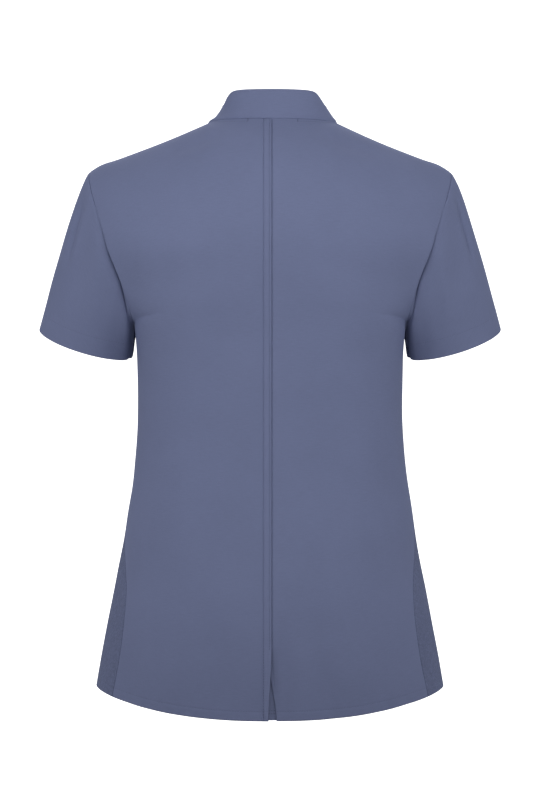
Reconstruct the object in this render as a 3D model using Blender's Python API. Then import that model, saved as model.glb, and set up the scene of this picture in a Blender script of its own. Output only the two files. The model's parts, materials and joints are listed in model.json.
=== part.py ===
"""A women's short-sleeved scrub top, hollow and filled out as if worn. Metres, +Z up.

The wearer faces +Y, so the back faces -Y and the wearer's right side is +X. The origin lies on the
body's middle plane, level with the two side neck points, where the garment hangs on the shoulders.

The cloth is worked out as two smooth half shells, back and front, which are mirrored for the other
half. A shell is a stack of rows from the hem to the shoulder. Below the underarm a row is part of a
closed ring round the body, above it a row ends on the armhole loop, and the last rows arch over the
shoulder to the seam at its top. Every panel is a patch of those shells with a wall of its own.
"""

import bpy
import numpy as np

# ---------------------------------------------------------------- sizes

CLOTH = 0.0015  # wall of the woven panels
KNIT = 0.0016  # wall of the knitted side panels
COLLAR_CLOTH = 0.0022  # the collar is two layers of cloth
SEAM_GAP = 0.0004  # between two pieces sewn together
UNDER_GAP = 0.0006  # between the vent's underlap and the panels over it
COLLAR_GAP = 0.0005  # between the collar and the neck edge, before their walls turn

# The body, ring by ring. z is the height at the side seam, half_width and the two depths give the
# ring's reach to the side, back and front, drop says how much lower its middle hangs, and the two
# powers how square its back and front are: 2 is an ellipse.
RING_COLUMNS = ("z", "half_width", "back", "front", "drop", "back_power", "front_power")
RINGS = (
    (-0.6725, 0.2082, -0.1500, 0.148, 0.0268, 2.3, 2.4),
    (-0.620, 0.1988, -0.1455, 0.147, 0.0200, 2.3, 2.4),
    (-0.566, 0.1886, -0.1370, 0.144, 0.0130, 2.3, 2.4),
    (-0.494, 0.1744, -0.1230, 0.136, 0.0060, 2.3, 2.4),
    (-0.422, 0.1638, -0.1090, 0.128, 0.0020, 2.3, 2.4),
    (-0.350, 0.1584, -0.1020, 0.125, 0.0000, 2.4, 2.4),
    (-0.296, 0.1588, -0.1019, 0.129, 0.0000, 2.9, 2.6),
    (-0.251, 0.1615, -0.1057, 0.1346, 0.0000, 3.7, 2.8),
)
DROP_POWER = 2.25  # how fast a ring's drop dies away from its middle to its side
SIDE_Y = 0.003  # where the rings are widest, and where the shoulder seam lies
LEAN = 0.0045  # the neck hangs this much to the right of the body
LEAN_FROM, LEAN_RISE = -0.060, 0.095  # the height where the lean starts, and the rise to all of it
UNDERARM_RISE = 0.011  # the row at the underarm climbs this much towards the middle
UNDERARM_SPREAD = 0.0354  # at this depth from the side it has climbed most of that

# Rows between the underarm and the shoulder blades: the angle on the armhole loop where a row ends,
# and the height and depth of its middle on the back and on the front.
UPPER_COLUMNS = ("angle", "back_z", "back_y", "front_z", "front_y", "back_power", "front_power")
UPPER_ROWS = (
    (38.0, -0.207, -0.1113, -0.214, 0.1374, 3.1, 2.6),
    (62.0, -0.176, -0.1166, -0.180, 0.1365, 2.5, 2.3),
    (90.0, -0.145, -0.1189, -0.145, 0.1267, 2.6, 2.7),
)
ARCH_STEPS = (0.25, 0.5, 0.75, 1.0)  # rows from there over the shoulder to its seam

# The armhole, a tilted loop: 0 degrees is the underarm, 90 its middle and 180 the shoulder tip.
ARMHOLE_Z = -0.155
ARMHOLE_RISE = 0.096
ARMHOLE_REACH = 0.074
ARMHOLE_X = 0.18875
ARMHOLE_LEAN = 0.02725
ARMHOLE_BEND = 0.003
FRONT_SCOOP = 0.009  # the front armhole is cut this much deeper

NECK_HALF = 0.0775  # side neck point
NECK_BACK = 0.058  # from the shoulder seam to the centre back neck
NECK_PIT = 0.059  # from the shoulder seam to the pit of the neck, which the V cuts away
NECK_PIT_Z = -0.045
NECK_ARCH = 50.0  # degrees of the arch that the middle of the back reaches
SHOULDER_SLOPE = 0.40
SHOULDER_TIP_DROP = 0.0036
SHOULDER_DIP = 0.0021  # how far the middle of the shoulder sinks below a straight line
SHOULDER_DIP_END = 0.85  # the share of the shoulder where that sag ends
NECK_SOFTNESS = 14  # columns over which the rows below the shoulder round the neck corner
V_POINT_Z = -0.175  # the lowest point of the neck seam

SIDE_TOP = 0.015  # half the side panel's width under the arm, measured along the ring
SIDE_BACK = 0.073  # what it gains towards the back over the hips
SIDE_FRONT = 0.045
SIDE_FROM, SIDE_TO = -0.46, -0.60  # heights between which it widens

SEAM_X = 0.0024  # the centre back seam lies a little to the right of the middle, all the way up
VENT_TOP, VENT_FULL = -0.624, -0.7075  # heights where the vent starts and where it is all open
VENT_CURVE = 0.8  # below 1 its edges part faster near its top
VENT_LEFT, VENT_RIGHT = -0.0036, 0.0054  # how far each of its edges stands off when all open
VENT_DIP = 0.0035  # the right panel sinks beside the vent
VENT_DIP_X, VENT_DIP_WIDTH = 0.017, 0.010
VENT_DIP_TOP, VENT_DIP_FADE = -0.574, 0.090  # where the dip starts, and the fall to all of it
LAP_WIDTH, LAP_RAISE = 0.0096, 0.0006  # the topstitched strip along the centre back seam
LAP_STEP = 0.0006  # the strip falls back to the panel over this width
UNDERLAP_LEFT, UNDERLAP_RIGHT, UNDERLAP_TOP = -0.016, 0.020, -0.612
UNDERLAP_SHORT = 0.001  # it ends this much above the hem
UNDERLAP_DIP_WIDTH = 0.016  # its own dip is wider than the panel's, so that it clears it

COLLAR_BACK = 0.0363  # the collar's height at the centre back
COLLAR_SIDE = 0.0271
COLLAR_V = 0.0160
COLLAR_LEAN_BACK, COLLAR_LEAN_SIDE = 0.18, 0.71  # inward lean for each unit of rise
COLLAR_STAND_FROM, COLLAR_STAND_OVER = 0.35, 0.75  # shares of the V's side where it turns upright
COLLAR_FULL_BY = 0.45  # the share of the back neck by which it is at full height
COLLAR_SIDE_POWER = 8  # the higher, the closer to the side neck the lean grows
COLLAR_POINT_EASE = 0.8  # the share of the V's side that takes up the trim at its point

CUFF = (0.2222, 0.020, -0.2636)  # centre of the sleeve hem
CUFF_ACROSS = (0.959, 0.0, 0.283)  # from its inner to its outer side
CUFF_BACKWARD = (0.0, -0.966, -0.258)
CUFF_HALF_ACROSS, CUFF_HALF_DEPTH = 0.0590, 0.0540
SLEEVE_START = 0.0005  # the sleeve starts this far outside the armhole edge
SLEEVE_OUT_UNDER, SLEEVE_OUT_TIP = 0.30, 0.95  # reach outwards for each unit down, where it leaves
SLEEVE_FAN = 0.45  # and backwards or forwards, for its lower half
SLEEVE_HOLD_UNDER, SLEEVE_HOLD_TIP = 0.75, 0.36  # how long it holds that direction, of its span
SLEEVE_HOLD_HEM = 1.05  # and how long it holds the sleeve's own at the hem

# Grid of the solids.
RING_ROWS, UPPER_GRID_ROWS = 14, 15
BACK_NECK_GRID, BACK_SHOULDER_GRID, FRONT_GRID, SIDE_GRID = 5, 6, 11, 3
SLEEVE_GRID, COLLAR_GRID, UNDERLAP_GRID = 8, 3, 6
ROW_CROWDING, SLEEVE_CROWDING = 1.35, 1.15  # above 1, rows crowd at the shoulder and the armhole

COLOURS = {
    "woven": (0.125, 0.146, 0.250),
    "knit": (0.108, 0.126, 0.215),
}

# ---------------------------------------------------------------- small helpers

DENSE = 16  # dense rows between two rows of the tables
COLUMNS = 161  # dense columns of a shell
LAST_RING = len(RINGS) - 1
LAST_ROW = LAST_RING + len(UPPER_ROWS) + len(ARCH_STEPS)


def ring_size(name):
    return np.array([row[RING_COLUMNS.index(name)] for row in RINGS])


def upper_size(name):
    return np.array([row[UPPER_COLUMNS.index(name)] for row in UPPER_ROWS])


def smoothstep(t):
    t = np.clip(t, 0.0, 1.0)
    return t * t * (3 - 2 * t)


def unit(vectors):
    return vectors / np.maximum(np.linalg.norm(vectors, axis=-1, keepdims=True), 1e-12)


def lengths_along(line):
    steps = np.linalg.norm(np.diff(line, axis=0), axis=1)
    return np.concatenate([[0.0], np.cumsum(steps)])


def at_lengths(line, wanted):
    """Points of a polyline at the given distances along it."""
    along = lengths_along(line)
    return np.stack([np.interp(wanted, along, line[:, k]) for k in range(3)], axis=1)


def spline_rows(rows, steps):
    """Smooth rows through the given ones, with steps between each two: cubic Hermite curves whose
    slopes allow for the rows' mean distances from each other."""
    spans = np.linalg.norm(np.diff(rows, axis=0), axis=-1).mean(axis=1)
    slopes = np.gradient(rows, np.concatenate([[0.0], np.cumsum(spans)]), axis=0)
    t = (np.arange(steps) / steps)[:, None, None]
    parts = []
    for k in range(len(rows) - 1):
        a, b = rows[k], rows[k + 1]
        parts.append(
            (2 * t**3 - 3 * t**2 + 1) * a
            + (t**3 - 2 * t**2 + t) * slopes[k] * spans[k]
            + (3 * t**2 - 2 * t**3) * b
            + (t**3 - t**2) * slopes[k + 1] * spans[k]
        )
    return np.concatenate(parts + [rows[-1:]])


def mirrored(points):
    return points * np.array([-1.0, 1.0, 1.0])


def lean_at(z):
    """How far the garment hangs to the right at a height."""
    return LEAN * smoothstep((z - LEAN_FROM) / LEAN_RISE)


# ---------------------------------------------------------------- the lines of the cut


def armhole(angle, front):
    """Points of the armhole loop at angles in degrees, on its front or back half."""
    a = np.radians(angle)
    side = 1.0 if front else -1.0
    x = ARMHOLE_X - ARMHOLE_LEAN * np.cos(a) - ARMHOLE_BEND * np.sin(2 * a)
    x = x - (FRONT_SCOOP if front else 0.0) * np.sin(a) ** 2
    y = SIDE_Y + side * ARMHOLE_REACH * np.sin(a)
    return np.stack([x, y, ARMHOLE_Z - ARMHOLE_RISE * np.cos(a)], axis=-1)


def half_ring(k, front):
    """Ring k from its middle to its side, as a quarter superellipse."""
    depth = ring_size("front" if front else "back")[k] - SIDE_Y
    power = ring_size("front_power" if front else "back_power")[k]
    t = np.linspace(0, np.pi / 2, 600)
    x = ring_size("half_width")[k] * np.sin(t) ** (2 / power)
    y = depth * np.cos(t) ** (2 / power)
    climb = UNDERARM_RISE * (k / LAST_RING) ** 4 * (1 - np.exp(-((y / UNDERARM_SPREAD) ** 2)))
    z = ring_size("z")[k] - ring_size("drop")[k] * (y / depth) ** DROP_POWER + climb
    return np.stack([x, y + SIDE_Y, z], axis=1)


def side_panel_reach(k, front):
    """How far the side panel reaches from the side along ring k."""
    gain = SIDE_FRONT if front else SIDE_BACK
    share = (SIDE_FROM - ring_size("z")[k]) / (SIDE_FROM - SIDE_TO)
    return SIDE_TOP + gain * smoothstep(share)


def ring_row(k, front):
    """Ring k from its middle to the side panel's seam."""
    line = half_ring(k, front)
    whole = lengths_along(line)[-1]
    return at_lengths(line, np.linspace(0, whole - side_panel_reach(k, front), COLUMNS))


def upper_row(k, front):
    """A row from the middle of the back or front to the armhole, as part of a superellipse."""
    word = "front" if front else "back"
    middle_z, middle_y, power = (upper_size(word + end)[k] for end in ("_z", "_y", "_power"))
    end = armhole(upper_size("angle")[k], front)
    share = (end[1] - SIDE_Y) / (middle_y - SIDE_Y)
    reach = end[0] / (1 - share**power) ** (1 / power)
    x = np.linspace(0, end[0], 600)
    y = SIDE_Y + (middle_y - SIDE_Y) * (1 - (x / reach) ** power) ** (1 / power)
    z = middle_z + (end[2] - middle_z) * smoothstep(x / end[0])
    line = np.stack([x, y, z], axis=1)
    return at_lengths(line, np.linspace(0, lengths_along(line)[-1], COLUMNS))


def neck_and_shoulder(front):
    """The shells' last row: half the neckline, then the shoulder seam to its tip."""
    t = np.linspace(0, np.pi / 2, 200)
    depth = NECK_PIT if front else -NECK_BACK
    low = NECK_PIT_Z if front else 0.0
    neck = np.stack([NECK_HALF * np.sin(t), SIDE_Y + depth * np.cos(t), low * np.cos(t) ** 2], 1)
    tip = ARMHOLE_X + ARMHOLE_LEAN
    x = np.linspace(NECK_HALF, tip, 200)[1:]
    share = (x - NECK_HALF) / (tip - NECK_HALF)
    z = -SHOULDER_SLOPE * (x - NECK_HALF) - SHOULDER_TIP_DROP * share**6
    z = z - SHOULDER_DIP * np.sin(np.pi * np.clip(share / SHOULDER_DIP_END, 0, 1))
    shoulder = np.stack([x, np.full_like(x, SIDE_Y), z], axis=1)
    line = np.concatenate([neck, shoulder])
    along = lengths_along(line)
    neck_share = lengths_along(neck)[-1] / along[-1]
    return at_lengths(line, np.linspace(0, along[-1], COLUMNS)), neck_share


def softened(row, width):
    """A row with its corner at the side neck point rounded, by averaging over width columns."""
    if width < 0.5:
        return row
    reach = int(3 * width)
    before = mirrored(row[reach:0:-1])
    after = 2 * row[-1] - row[-2 : -reach - 2 : -1]
    line = np.concatenate([before, row, after])
    offsets = np.arange(-reach, reach + 1)
    weights = np.exp(-0.5 * (offsets / width) ** 2)
    weights /= weights.sum()
    return np.stack([np.convolve(line[:, k], weights, "valid") for k in range(3)], axis=1)


def arch_row(base, top, neck_share, step, front):
    """A row that share of the way from the shoulder blades over the shoulder to its seam."""
    columns = np.linspace(0, 1, COLUMNS)
    full = NECK_ARCH + (90 - NECK_ARCH) * smoothstep(columns / neck_share)
    full = np.radians(full)[:, None]
    top = softened(top, NECK_SOFTNESS * (1 - step))
    a = full * step
    rise = np.sin(a) / np.sin(full)
    back = (np.cos(a) - np.cos(full)) / (1 - np.cos(full))
    row = base + (top - base) * rise
    row[:, 1:2] = top[:, 1:2] + (base[:, 1:2] - top[:, 1:2]) * back
    end = armhole(90 + 90 * step, front)
    miss = end - row[-1]
    return row + miss * (columns**6)[:, None]


def shell(front):
    """(dense rows of a half shell, the share of the last row that is neckline)."""
    rows = [ring_row(k, front) for k in range(len(RINGS))]
    rows[-1] = rows[-1] + (armhole(side_angle(front), front) - rows[-1][-1]) * (
        np.linspace(0, 1, COLUMNS)[:, None] ** 6
    )
    rows += [upper_row(k, front) for k in range(len(UPPER_ROWS))]
    top, neck_share = neck_and_shoulder(front)
    base = rows[-1]
    rows += [arch_row(base, top, neck_share, step, front) for step in ARCH_STEPS]
    return spline_rows(np.array(rows), DENSE), neck_share


def side_angle(front):
    """Where the side panel's seam meets the armhole loop."""
    line = half_ring(LAST_RING, front)
    end = at_lengths(line, [lengths_along(line)[-1] - side_panel_reach(LAST_RING, front)])[0]
    return np.degrees(np.arcsin(abs(end[1] - SIDE_Y) / ARMHOLE_REACH))


def side_strip(back_shell, front_shell):
    """Dense rows of the right side panel, from its back seam to its front seam."""
    columns = 41
    rows = []
    for k in range(len(RINGS)):
        back, front = half_ring(k, False), half_ring(k, True)
        line = np.concatenate([back, front[-2::-1]])
        middle = lengths_along(back)[-1]
        reach = (side_panel_reach(k, False), side_panel_reach(k, True))
        rows.append(at_lengths(line, np.linspace(middle - reach[0], middle + reach[1], columns)))
    dense = spline_rows(np.array(rows), DENSE)
    last = LAST_RING * DENSE + 1
    q = np.linspace(0, 1, columns)[None, :, None]
    back_miss = back_shell[:last, -1:] - dense[:, :1]
    front_miss = front_shell[:last, -1:] - dense[:, -1:]
    return dense + (1 - q) * back_miss + q * front_miss


def normals_of(grid, outward):
    """Unit normals of a grid of points, on the side where outward(points) points."""
    across = np.gradient(grid, axis=1)
    along = np.gradient(grid, axis=0)
    normal = unit(np.cross(across, along))
    turned = (normal * outward(grid)).sum(-1).mean() < 0
    return -normal if turned else normal


def sampled(grid, rows, columns):
    """Points of a dense grid at fractional rows and columns, both arrays of one shape."""
    r = np.clip(rows, 0, grid.shape[0] - 1.000001)
    c = np.clip(columns, 0, grid.shape[1] - 1.000001)
    i, j = r.astype(int), c.astype(int)
    a, b = (r - i)[..., None], (c - j)[..., None]
    near = grid[i, j] * (1 - b) + grid[i, j + 1] * b
    far = grid[i + 1, j] * (1 - b) + grid[i + 1, j + 1] * b
    return near * (1 - a) + far * a


class Shell:
    """A dense half shell with its normals, sampled at rows and signed shares of a row."""

    def __init__(self, grid, side):
        self.grid = grid
        self.normals = normals_of(grid, lambda p: p * [1, 1, 0] + [0, side * 0.05, 0.02])

    def at(self, rows, shares):
        """(points, normals) at rows of the tables and shares of a row, mirrored below zero."""
        r = rows * DENSE
        c = np.abs(shares) * (self.grid.shape[1] - 1)
        flip = np.where(shares < 0, -1.0, 1.0)[..., None] * [1, 0, 0] + [0, 1, 1]
        return sampled(self.grid, r, c) * flip, unit(sampled(self.normals, r, c)) * flip

    def middle_speed(self, rows):
        """How fast x grows with the share of a row at its middle."""
        step = 4
        found = self.grid[:, step, 0] / step * (self.grid.shape[1] - 1)
        return np.interp(rows * DENSE, np.arange(len(found)), found)


# ---------------------------------------------------------------- walls


class Sheet:
    """A grid of outer points, the direction from each to the wall's inner side, and how thick."""

    def __init__(self, points, normals, thickness):
        self.points = points.copy()
        self.inward = -normals
        self.thickness = thickness

    def inner(self):
        return self.points + self.inward * self.thickness

    def draw_in(self, rows, columns, towards):
        """Moves border points half a seam gap towards the points beside them."""
        edge = self.points[rows, columns]
        self.points[rows, columns] = edge + unit(towards - edge) * SEAM_GAP / 2


def sew(first, at_first, second, at_second):
    """Gives the two edges of a seam one direction for the wall, so that the walls meet along it.
    Where the two sheets fold back on each other each keeps its own."""
    a, b = -unit(first.inward[at_first]), -unit(second.inward[at_second])
    weight = smoothstep(((a * b).sum(-1, keepdims=True) + 0.1) / 0.5)
    shared = unit(a + b)
    for sheet, at, own in ((first, at_first, a), (second, at_second, b)):
        turned = unit(shared * weight + own * (1 - weight))
        longer = 1 / np.maximum((turned * own).sum(-1, keepdims=True), 0.6)
        sheet.inward[at] = -turned * longer


def grid_faces(rows, columns, wrap=False):
    """Quads of a grid of points, numbered row by row."""
    i, j = np.meshgrid(np.arange(rows - 1), np.arange(columns - (0 if wrap else 1)), indexing="ij")
    i, j = i.ravel(), j.ravel()
    k = (j + 1) % columns
    return np.stack(
        [i * columns + j, i * columns + k, (i + 1) * columns + k, (i + 1) * columns + j], 1
    )


def triangles(points, quads):
    """Each quad as two triangles, cut along its shorter diagonal."""
    a, b, c, d = (points[quads[:, k]] for k in range(4))
    other = np.linalg.norm(b - d, axis=1) < np.linalg.norm(a - c, axis=1) - 1e-7
    turned = np.where(other[:, None], np.roll(quads, -1, axis=1), quads)
    return np.concatenate([turned[:, [0, 1, 2]], turned[:, [0, 2, 3]]])


def wall_mesh(outer, inner, faces):
    """(points, triangles) of a closed wall between two sheets with the same faces."""
    count = len(outer)
    edges = set()
    for a, b, c, d in faces.tolist():
        edges.update(((a, b), (b, c), (c, d), (d, a)))
    rim = [(s, e) for s, e in sorted(edges) if (e, s) not in edges]
    points = np.concatenate([outer, inner])
    sheet = triangles(outer, faces)
    sides = triangles(points, np.array([(e, s, s + count, e + count) for s, e in rim]))
    return points, np.concatenate([sheet, sheet[:, ::-1] + count, sides])


def signed_volume(points, triangles):
    a, b, c = (points[triangles[:, k]] for k in range(3))
    return float((a * np.cross(b, c)).sum())


def add_piece(name, points, faces, material):
    points = points + lean_at(points[:, 2:]) * [1, 0, 0]
    mesh = bpy.data.meshes.new(name)
    mesh.from_pydata(points.tolist(), [], faces.tolist())
    if signed_volume(points, faces) < 0:
        mesh.flip_normals()
    mesh.shade_smooth()
    mesh.set_sharp_from_angle(angle=np.radians(50))
    mesh.materials.append(material)
    piece = bpy.data.objects.new(name, mesh)
    bpy.context.scene.collection.objects.link(piece)
    return piece


def add_wall(name, outer, inner, material, wrap=False):
    """A wall from two grids of points, outer and inner."""
    rows, columns = outer.shape[:2]
    faces = grid_faces(rows, columns, wrap)
    return add_piece(name, *wall_mesh(outer.reshape(-1, 3), inner.reshape(-1, 3), faces), material)


# ---------------------------------------------------------------- panels


def grid_rows():
    rings = np.linspace(0, LAST_RING, RING_ROWS + 1)
    closer = 1 - (1 - np.linspace(0, 1, UPPER_GRID_ROWS + 1)[1:]) ** ROW_CROWDING
    upper = LAST_RING + (LAST_ROW - LAST_RING) * closer
    return np.concatenate([rings, upper])


RINGS_OF_GRID = slice(0, RING_ROWS + 1)  # the rows of a panel's grid beside the side panel
ARMHOLE_OF_GRID = slice(RING_ROWS, None)  # and those along the armhole


def vent_opening(z):
    """0 above the vent, growing to 1 where it is all open."""
    return smoothstep((VENT_TOP - z) / (VENT_TOP - VENT_FULL)) ** VENT_CURVE


def vent_dip(x, z, width):
    """How far the cloth to the right of the vent sinks."""
    low = smoothstep((VENT_DIP_TOP - z) / VENT_DIP_FADE)
    return VENT_DIP * low * np.exp(-0.5 * ((x - VENT_DIP_X) / width) ** 2)


def seam_line(shell_back, rows, edge):
    """Signed x of the centre back edge of a panel before the lean: edge is -1 for left and 1 for
    right. The seam itself stays straight."""
    z = shell_back.at(rows, np.zeros_like(rows))[0][:, 2]
    stand_off = VENT_LEFT if edge < 0 else VENT_RIGHT
    return SEAM_X - lean_at(z) + edge * SEAM_GAP / 2 + stand_off * vent_opening(z)


def back_sheet(shell_back, neck_share, edge):
    """A back panel from the centre back to the side, edge -1 left or 1 right, drawn as a right one."""
    rows = grid_rows()
    speed = shell_back.middle_speed(rows)
    start = edge * seam_line(shell_back, rows, edge) / speed
    strip = np.array([0.0, LAP_WIDTH - LAP_STEP, LAP_WIDTH] if edge < 0 else [0.0, LAP_WIDTH])
    near = start[:, None] + strip[None, :] / speed[:, None]
    to_neck = (neck_share - near[-1, -1]) / (1 - near[-1, -1])
    spread = np.concatenate(
        [np.linspace(0, to_neck, BACK_NECK_GRID + 1), np.linspace(to_neck, 1, BACK_SHOULDER_GRID + 1)[1:]]
    )[1:]
    far = near[:, -1:] + (1 - near[:, -1:]) * spread[None, :]
    shares = np.concatenate([near, far], axis=1)
    points, normals = shell_back.at(np.repeat(rows[:, None], shares.shape[1], 1), shares)
    if edge < 0:
        strip_columns = np.arange(shares.shape[1]) < 2
        points = points + normals * (LAP_RAISE * strip_columns)[None, :, None]
    else:
        dip = vent_dip(points[..., 0], points[..., 2], VENT_DIP_WIDTH)
        points = points - normals * dip[..., None]
    sheet = Sheet(points, normals, CLOTH)
    sheet.inward[:, 0, 0] = 0.0
    sheet.inward[:, 0] = unit(sheet.inward[:, 0])
    sheet.neck_columns = len(strip) + BACK_NECK_GRID
    sheet.draw_in(-1, slice(0, sheet.neck_columns), sheet.points[-2, : sheet.neck_columns])
    return sheet


def v_edge_shares(shell_front, rows, neck_share):
    """The share of each row where the front's neck edge lies, 0 below the point of the V."""
    dense = np.linspace(0, 1, 400)
    found = []
    for row in rows:
        points = shell_front.at(np.full_like(dense, row), dense)[0]
        beyond = points[:, 0] / NECK_HALF - (points[:, 2] - V_POINT_Z) / -V_POINT_Z
        found.append(0.0 if beyond[0] >= 0 else float(np.interp(0, beyond, dense)))
    found = np.array(found)
    found[rows >= LAST_ROW] = neck_share
    return found


def v_row(shell_front):
    """The row whose middle is the point of the V."""
    rows = np.linspace(LAST_RING, LAST_ROW, 2000)
    z = shell_front.at(rows, np.zeros_like(rows))[0][:, 2]
    return float(np.interp(V_POINT_Z, z, rows))


def front_sheet(shell_front, neck_share):
    """The right half of the front from its middle, or above that from the edge of the V."""
    rows = grid_rows()
    point_row = int(np.argmin(np.abs(rows - v_row(shell_front))))
    rows[point_row] = v_row(shell_front)
    start = v_edge_shares(shell_front, rows, neck_share)
    shares = start[:, None] + (1 - start[:, None]) * np.linspace(0, 1, FRONT_GRID + 1)[None, :]
    points, normals = shell_front.at(np.repeat(rows[:, None], shares.shape[1], 1), shares)
    points[: point_row + 1, 0, 0] = 0.0
    sheet = Sheet(points, normals, CLOTH)
    sheet.inward[: point_row + 1, 0, 0] = 0.0
    sheet.inward[: point_row + 1, 0] = unit(sheet.inward[: point_row + 1, 0])
    sheet.point_row = point_row
    sheet.draw_in(slice(point_row + 1, None), 0, sheet.points[point_row + 1 :, 1])
    return sheet


def side_sheet(strip):
    """The right side panel, from its back seam to its front seam."""
    rows, columns = grid_rows()[RINGS_OF_GRID], np.linspace(0, 1, SIDE_GRID + 1)
    normals = normals_of(strip, lambda p: p * [1, 0, 0])
    r = np.repeat(rows[:, None] * DENSE, len(columns), 1)
    c = np.repeat(columns[None, :] * (strip.shape[1] - 1), len(rows), 0)
    return Sheet(sampled(strip, r, c), unit(sampled(normals, r, c)), KNIT)


def shoulder_seam(sheet, columns):
    """Both walls of the shoulder seam stand upright, on either side of its plane."""
    sheet.inward[-1, columns, 1] = 0.0
    sheet.inward[-1, columns] = unit(sheet.inward[-1, columns])
    side = np.sign(sheet.points[-2, -1, 1] - SIDE_Y)
    sheet.points[-1, columns, 1] = SIDE_Y + side * SEAM_GAP / 2


def add_front(sheet, material):
    """The front, one piece: two mirrored halves that share their middle up to the V."""
    count, width = sheet.points.shape[:2]
    right = grid_faces(count, width)
    left = right[:, ::-1] + count * width
    faces = np.concatenate([right, left])
    middle = np.arange(sheet.point_row + 1) * width
    faces = np.where(np.isin(faces, middle + count * width), faces - count * width, faces)
    points, inner = sheet.points.reshape(-1, 3), sheet.inner().reshape(-1, 3)
    outer = np.concatenate([points, mirrored(points)])
    inside = np.concatenate([inner, mirrored(inner)])
    used, faces = np.unique(faces, return_inverse=True)
    faces = faces.reshape(-1, 4)
    return add_piece("front", *wall_mesh(outer[used], inside[used], faces), material)


def add_pair(name, right, left, material, wrap=False):
    """A right piece and its left one, which is drawn as a right one and mirrored here."""
    add_wall(name + "_right", right.points, right.inner(), material, wrap)
    outer, inner = mirrored(left.points)[:, ::-1], mirrored(left.inner())[:, ::-1]
    add_wall(name + "_left", outer, inner, material, wrap)


def add_underlap(shell_back, material):
    """The vent's underlap, a strip inside the two back panels."""
    low = np.linspace(0, 2, 100)
    z = shell_back.at(low, np.zeros_like(low))[0][:, 2]
    rows = np.linspace(0, np.interp(UNDERLAP_TOP, z, low), UNDERLAP_GRID + 1)
    x = np.linspace(UNDERLAP_LEFT, UNDERLAP_RIGHT, UNDERLAP_GRID + 1)
    shares = x[None, :] / shell_back.middle_speed(rows)[:, None]
    points, normals = shell_back.at(np.repeat(rows[:, None], len(x), 1), shares)
    dip = vent_dip(points[..., 0], points[..., 2], UNDERLAP_DIP_WIDTH)
    outer = points - normals * (CLOTH + UNDER_GAP + dip)[..., None]
    outer[0, :, 2] += UNDERLAP_SHORT
    return add_wall("vent_underlap", outer, outer - normals * CLOTH, material)


# ---------------------------------------------------------------- sleeves


def armhole_samples(back, front, side):
    """(points of the right armhole, where each lies on the panels): up the back from the side
    panel, over the tip and down the front, then under the arm."""
    up = back.points[ARMHOLE_OF_GRID, -1]
    down = front.points[ARMHOLE_OF_GRID, -1][::-1]
    under = side.points[-1, -2:0:-1]
    return np.concatenate([up, down[1:], under]), len(up) - 1


def sleeve_angles(loop, tip):
    """Angle round the cuff for each armhole point: 0 at the underarm, 180 at the shoulder tip."""
    closed = np.concatenate([loop, loop[:1]])
    along = lengths_along(closed)
    whole, to_tip = along[-1], along[tip]
    under = tip + int(np.argmin(np.abs(closed[tip:, 1] - SIDE_Y) + (closed[tip:, 2] > ARMHOLE_Z)))
    start = along[under] + closed[under, 1] - SIDE_Y - whole
    angle = np.where(
        along[:-1] <= to_tip,
        (along[:-1] - start) / (to_tip - start) * 180,
        180 + (along[:-1] - to_tip) / (whole + start - to_tip) * 180,
    )
    return np.radians(angle)


def sleeve_sheet(loop, angles):
    """The right sleeve from the armhole to its hem: cubic curves that leave the armhole
    outwards and reach the cuff along the sleeve."""
    across, backward = np.array(CUFF_ACROSS), np.array(CUFF_BACKWARD)
    cos, sin = np.cos(angles)[:, None], np.sin(angles)[:, None]
    cuff = np.array(CUFF) - CUFF_HALF_ACROSS * cos * across + CUFF_HALF_DEPTH * sin * backward
    axis = unit(np.cross(across, backward))
    axis = axis if axis[2] < 0 else -axis
    span = np.linalg.norm(cuff - loop, axis=1, keepdims=True)
    high = (1 - cos) / 2
    ahead = np.concatenate([np.zeros_like(cos), -sin, np.zeros_like(cos)], axis=1)
    out = SLEEVE_OUT_UNDER + (SLEEVE_OUT_TIP - SLEEVE_OUT_UNDER) * high**2
    away = out * [1, 0, 0] - [0, 0, 1] - SLEEVE_FAN * ahead * (1 - high) ** 0.5
    hold = SLEEVE_HOLD_UNDER + (SLEEVE_HOLD_TIP - SLEEVE_HOLD_UNDER) * high
    leave = unit(away) * span * hold
    reach = axis * span * SLEEVE_HOLD_HEM
    t = (np.linspace(0, 1, SLEEVE_GRID + 1) ** SLEEVE_CROWDING)[:, None, None]
    grid = (
        (2 * t**3 - 3 * t**2 + 1) * loop
        + (t**3 - 2 * t**2 + t) * leave
        + (3 * t**2 - 2 * t**3) * cuff
        + (t**3 - t**2) * reach
    )
    return Sheet(grid, ring_normals(grid), CLOTH)


def ring_normals(grid):
    """Unit normals of a grid whose rows are closed loops, pointing away from the loops' middles."""
    across = np.roll(grid, -1, axis=1) - np.roll(grid, 1, axis=1)
    normal = unit(np.cross(across, np.gradient(grid, axis=0)))
    centre = grid.mean(axis=1, keepdims=True)
    return normal if (normal * (grid - centre)).sum() > 0 else -normal


# ---------------------------------------------------------------- collar


def neck_edge(back, front):
    """(points, normals) of the right half of the neck seam, from the V to the centre back."""
    up = slice(front.point_row, None)
    round_back = slice(back.neck_columns - 2, None, -1)
    points = np.concatenate([front.points[up, 0], back.points[-1, round_back]])
    normals = -np.concatenate([front.inward[up, 0], back.inward[-1, round_back]])
    return points, normals


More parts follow.
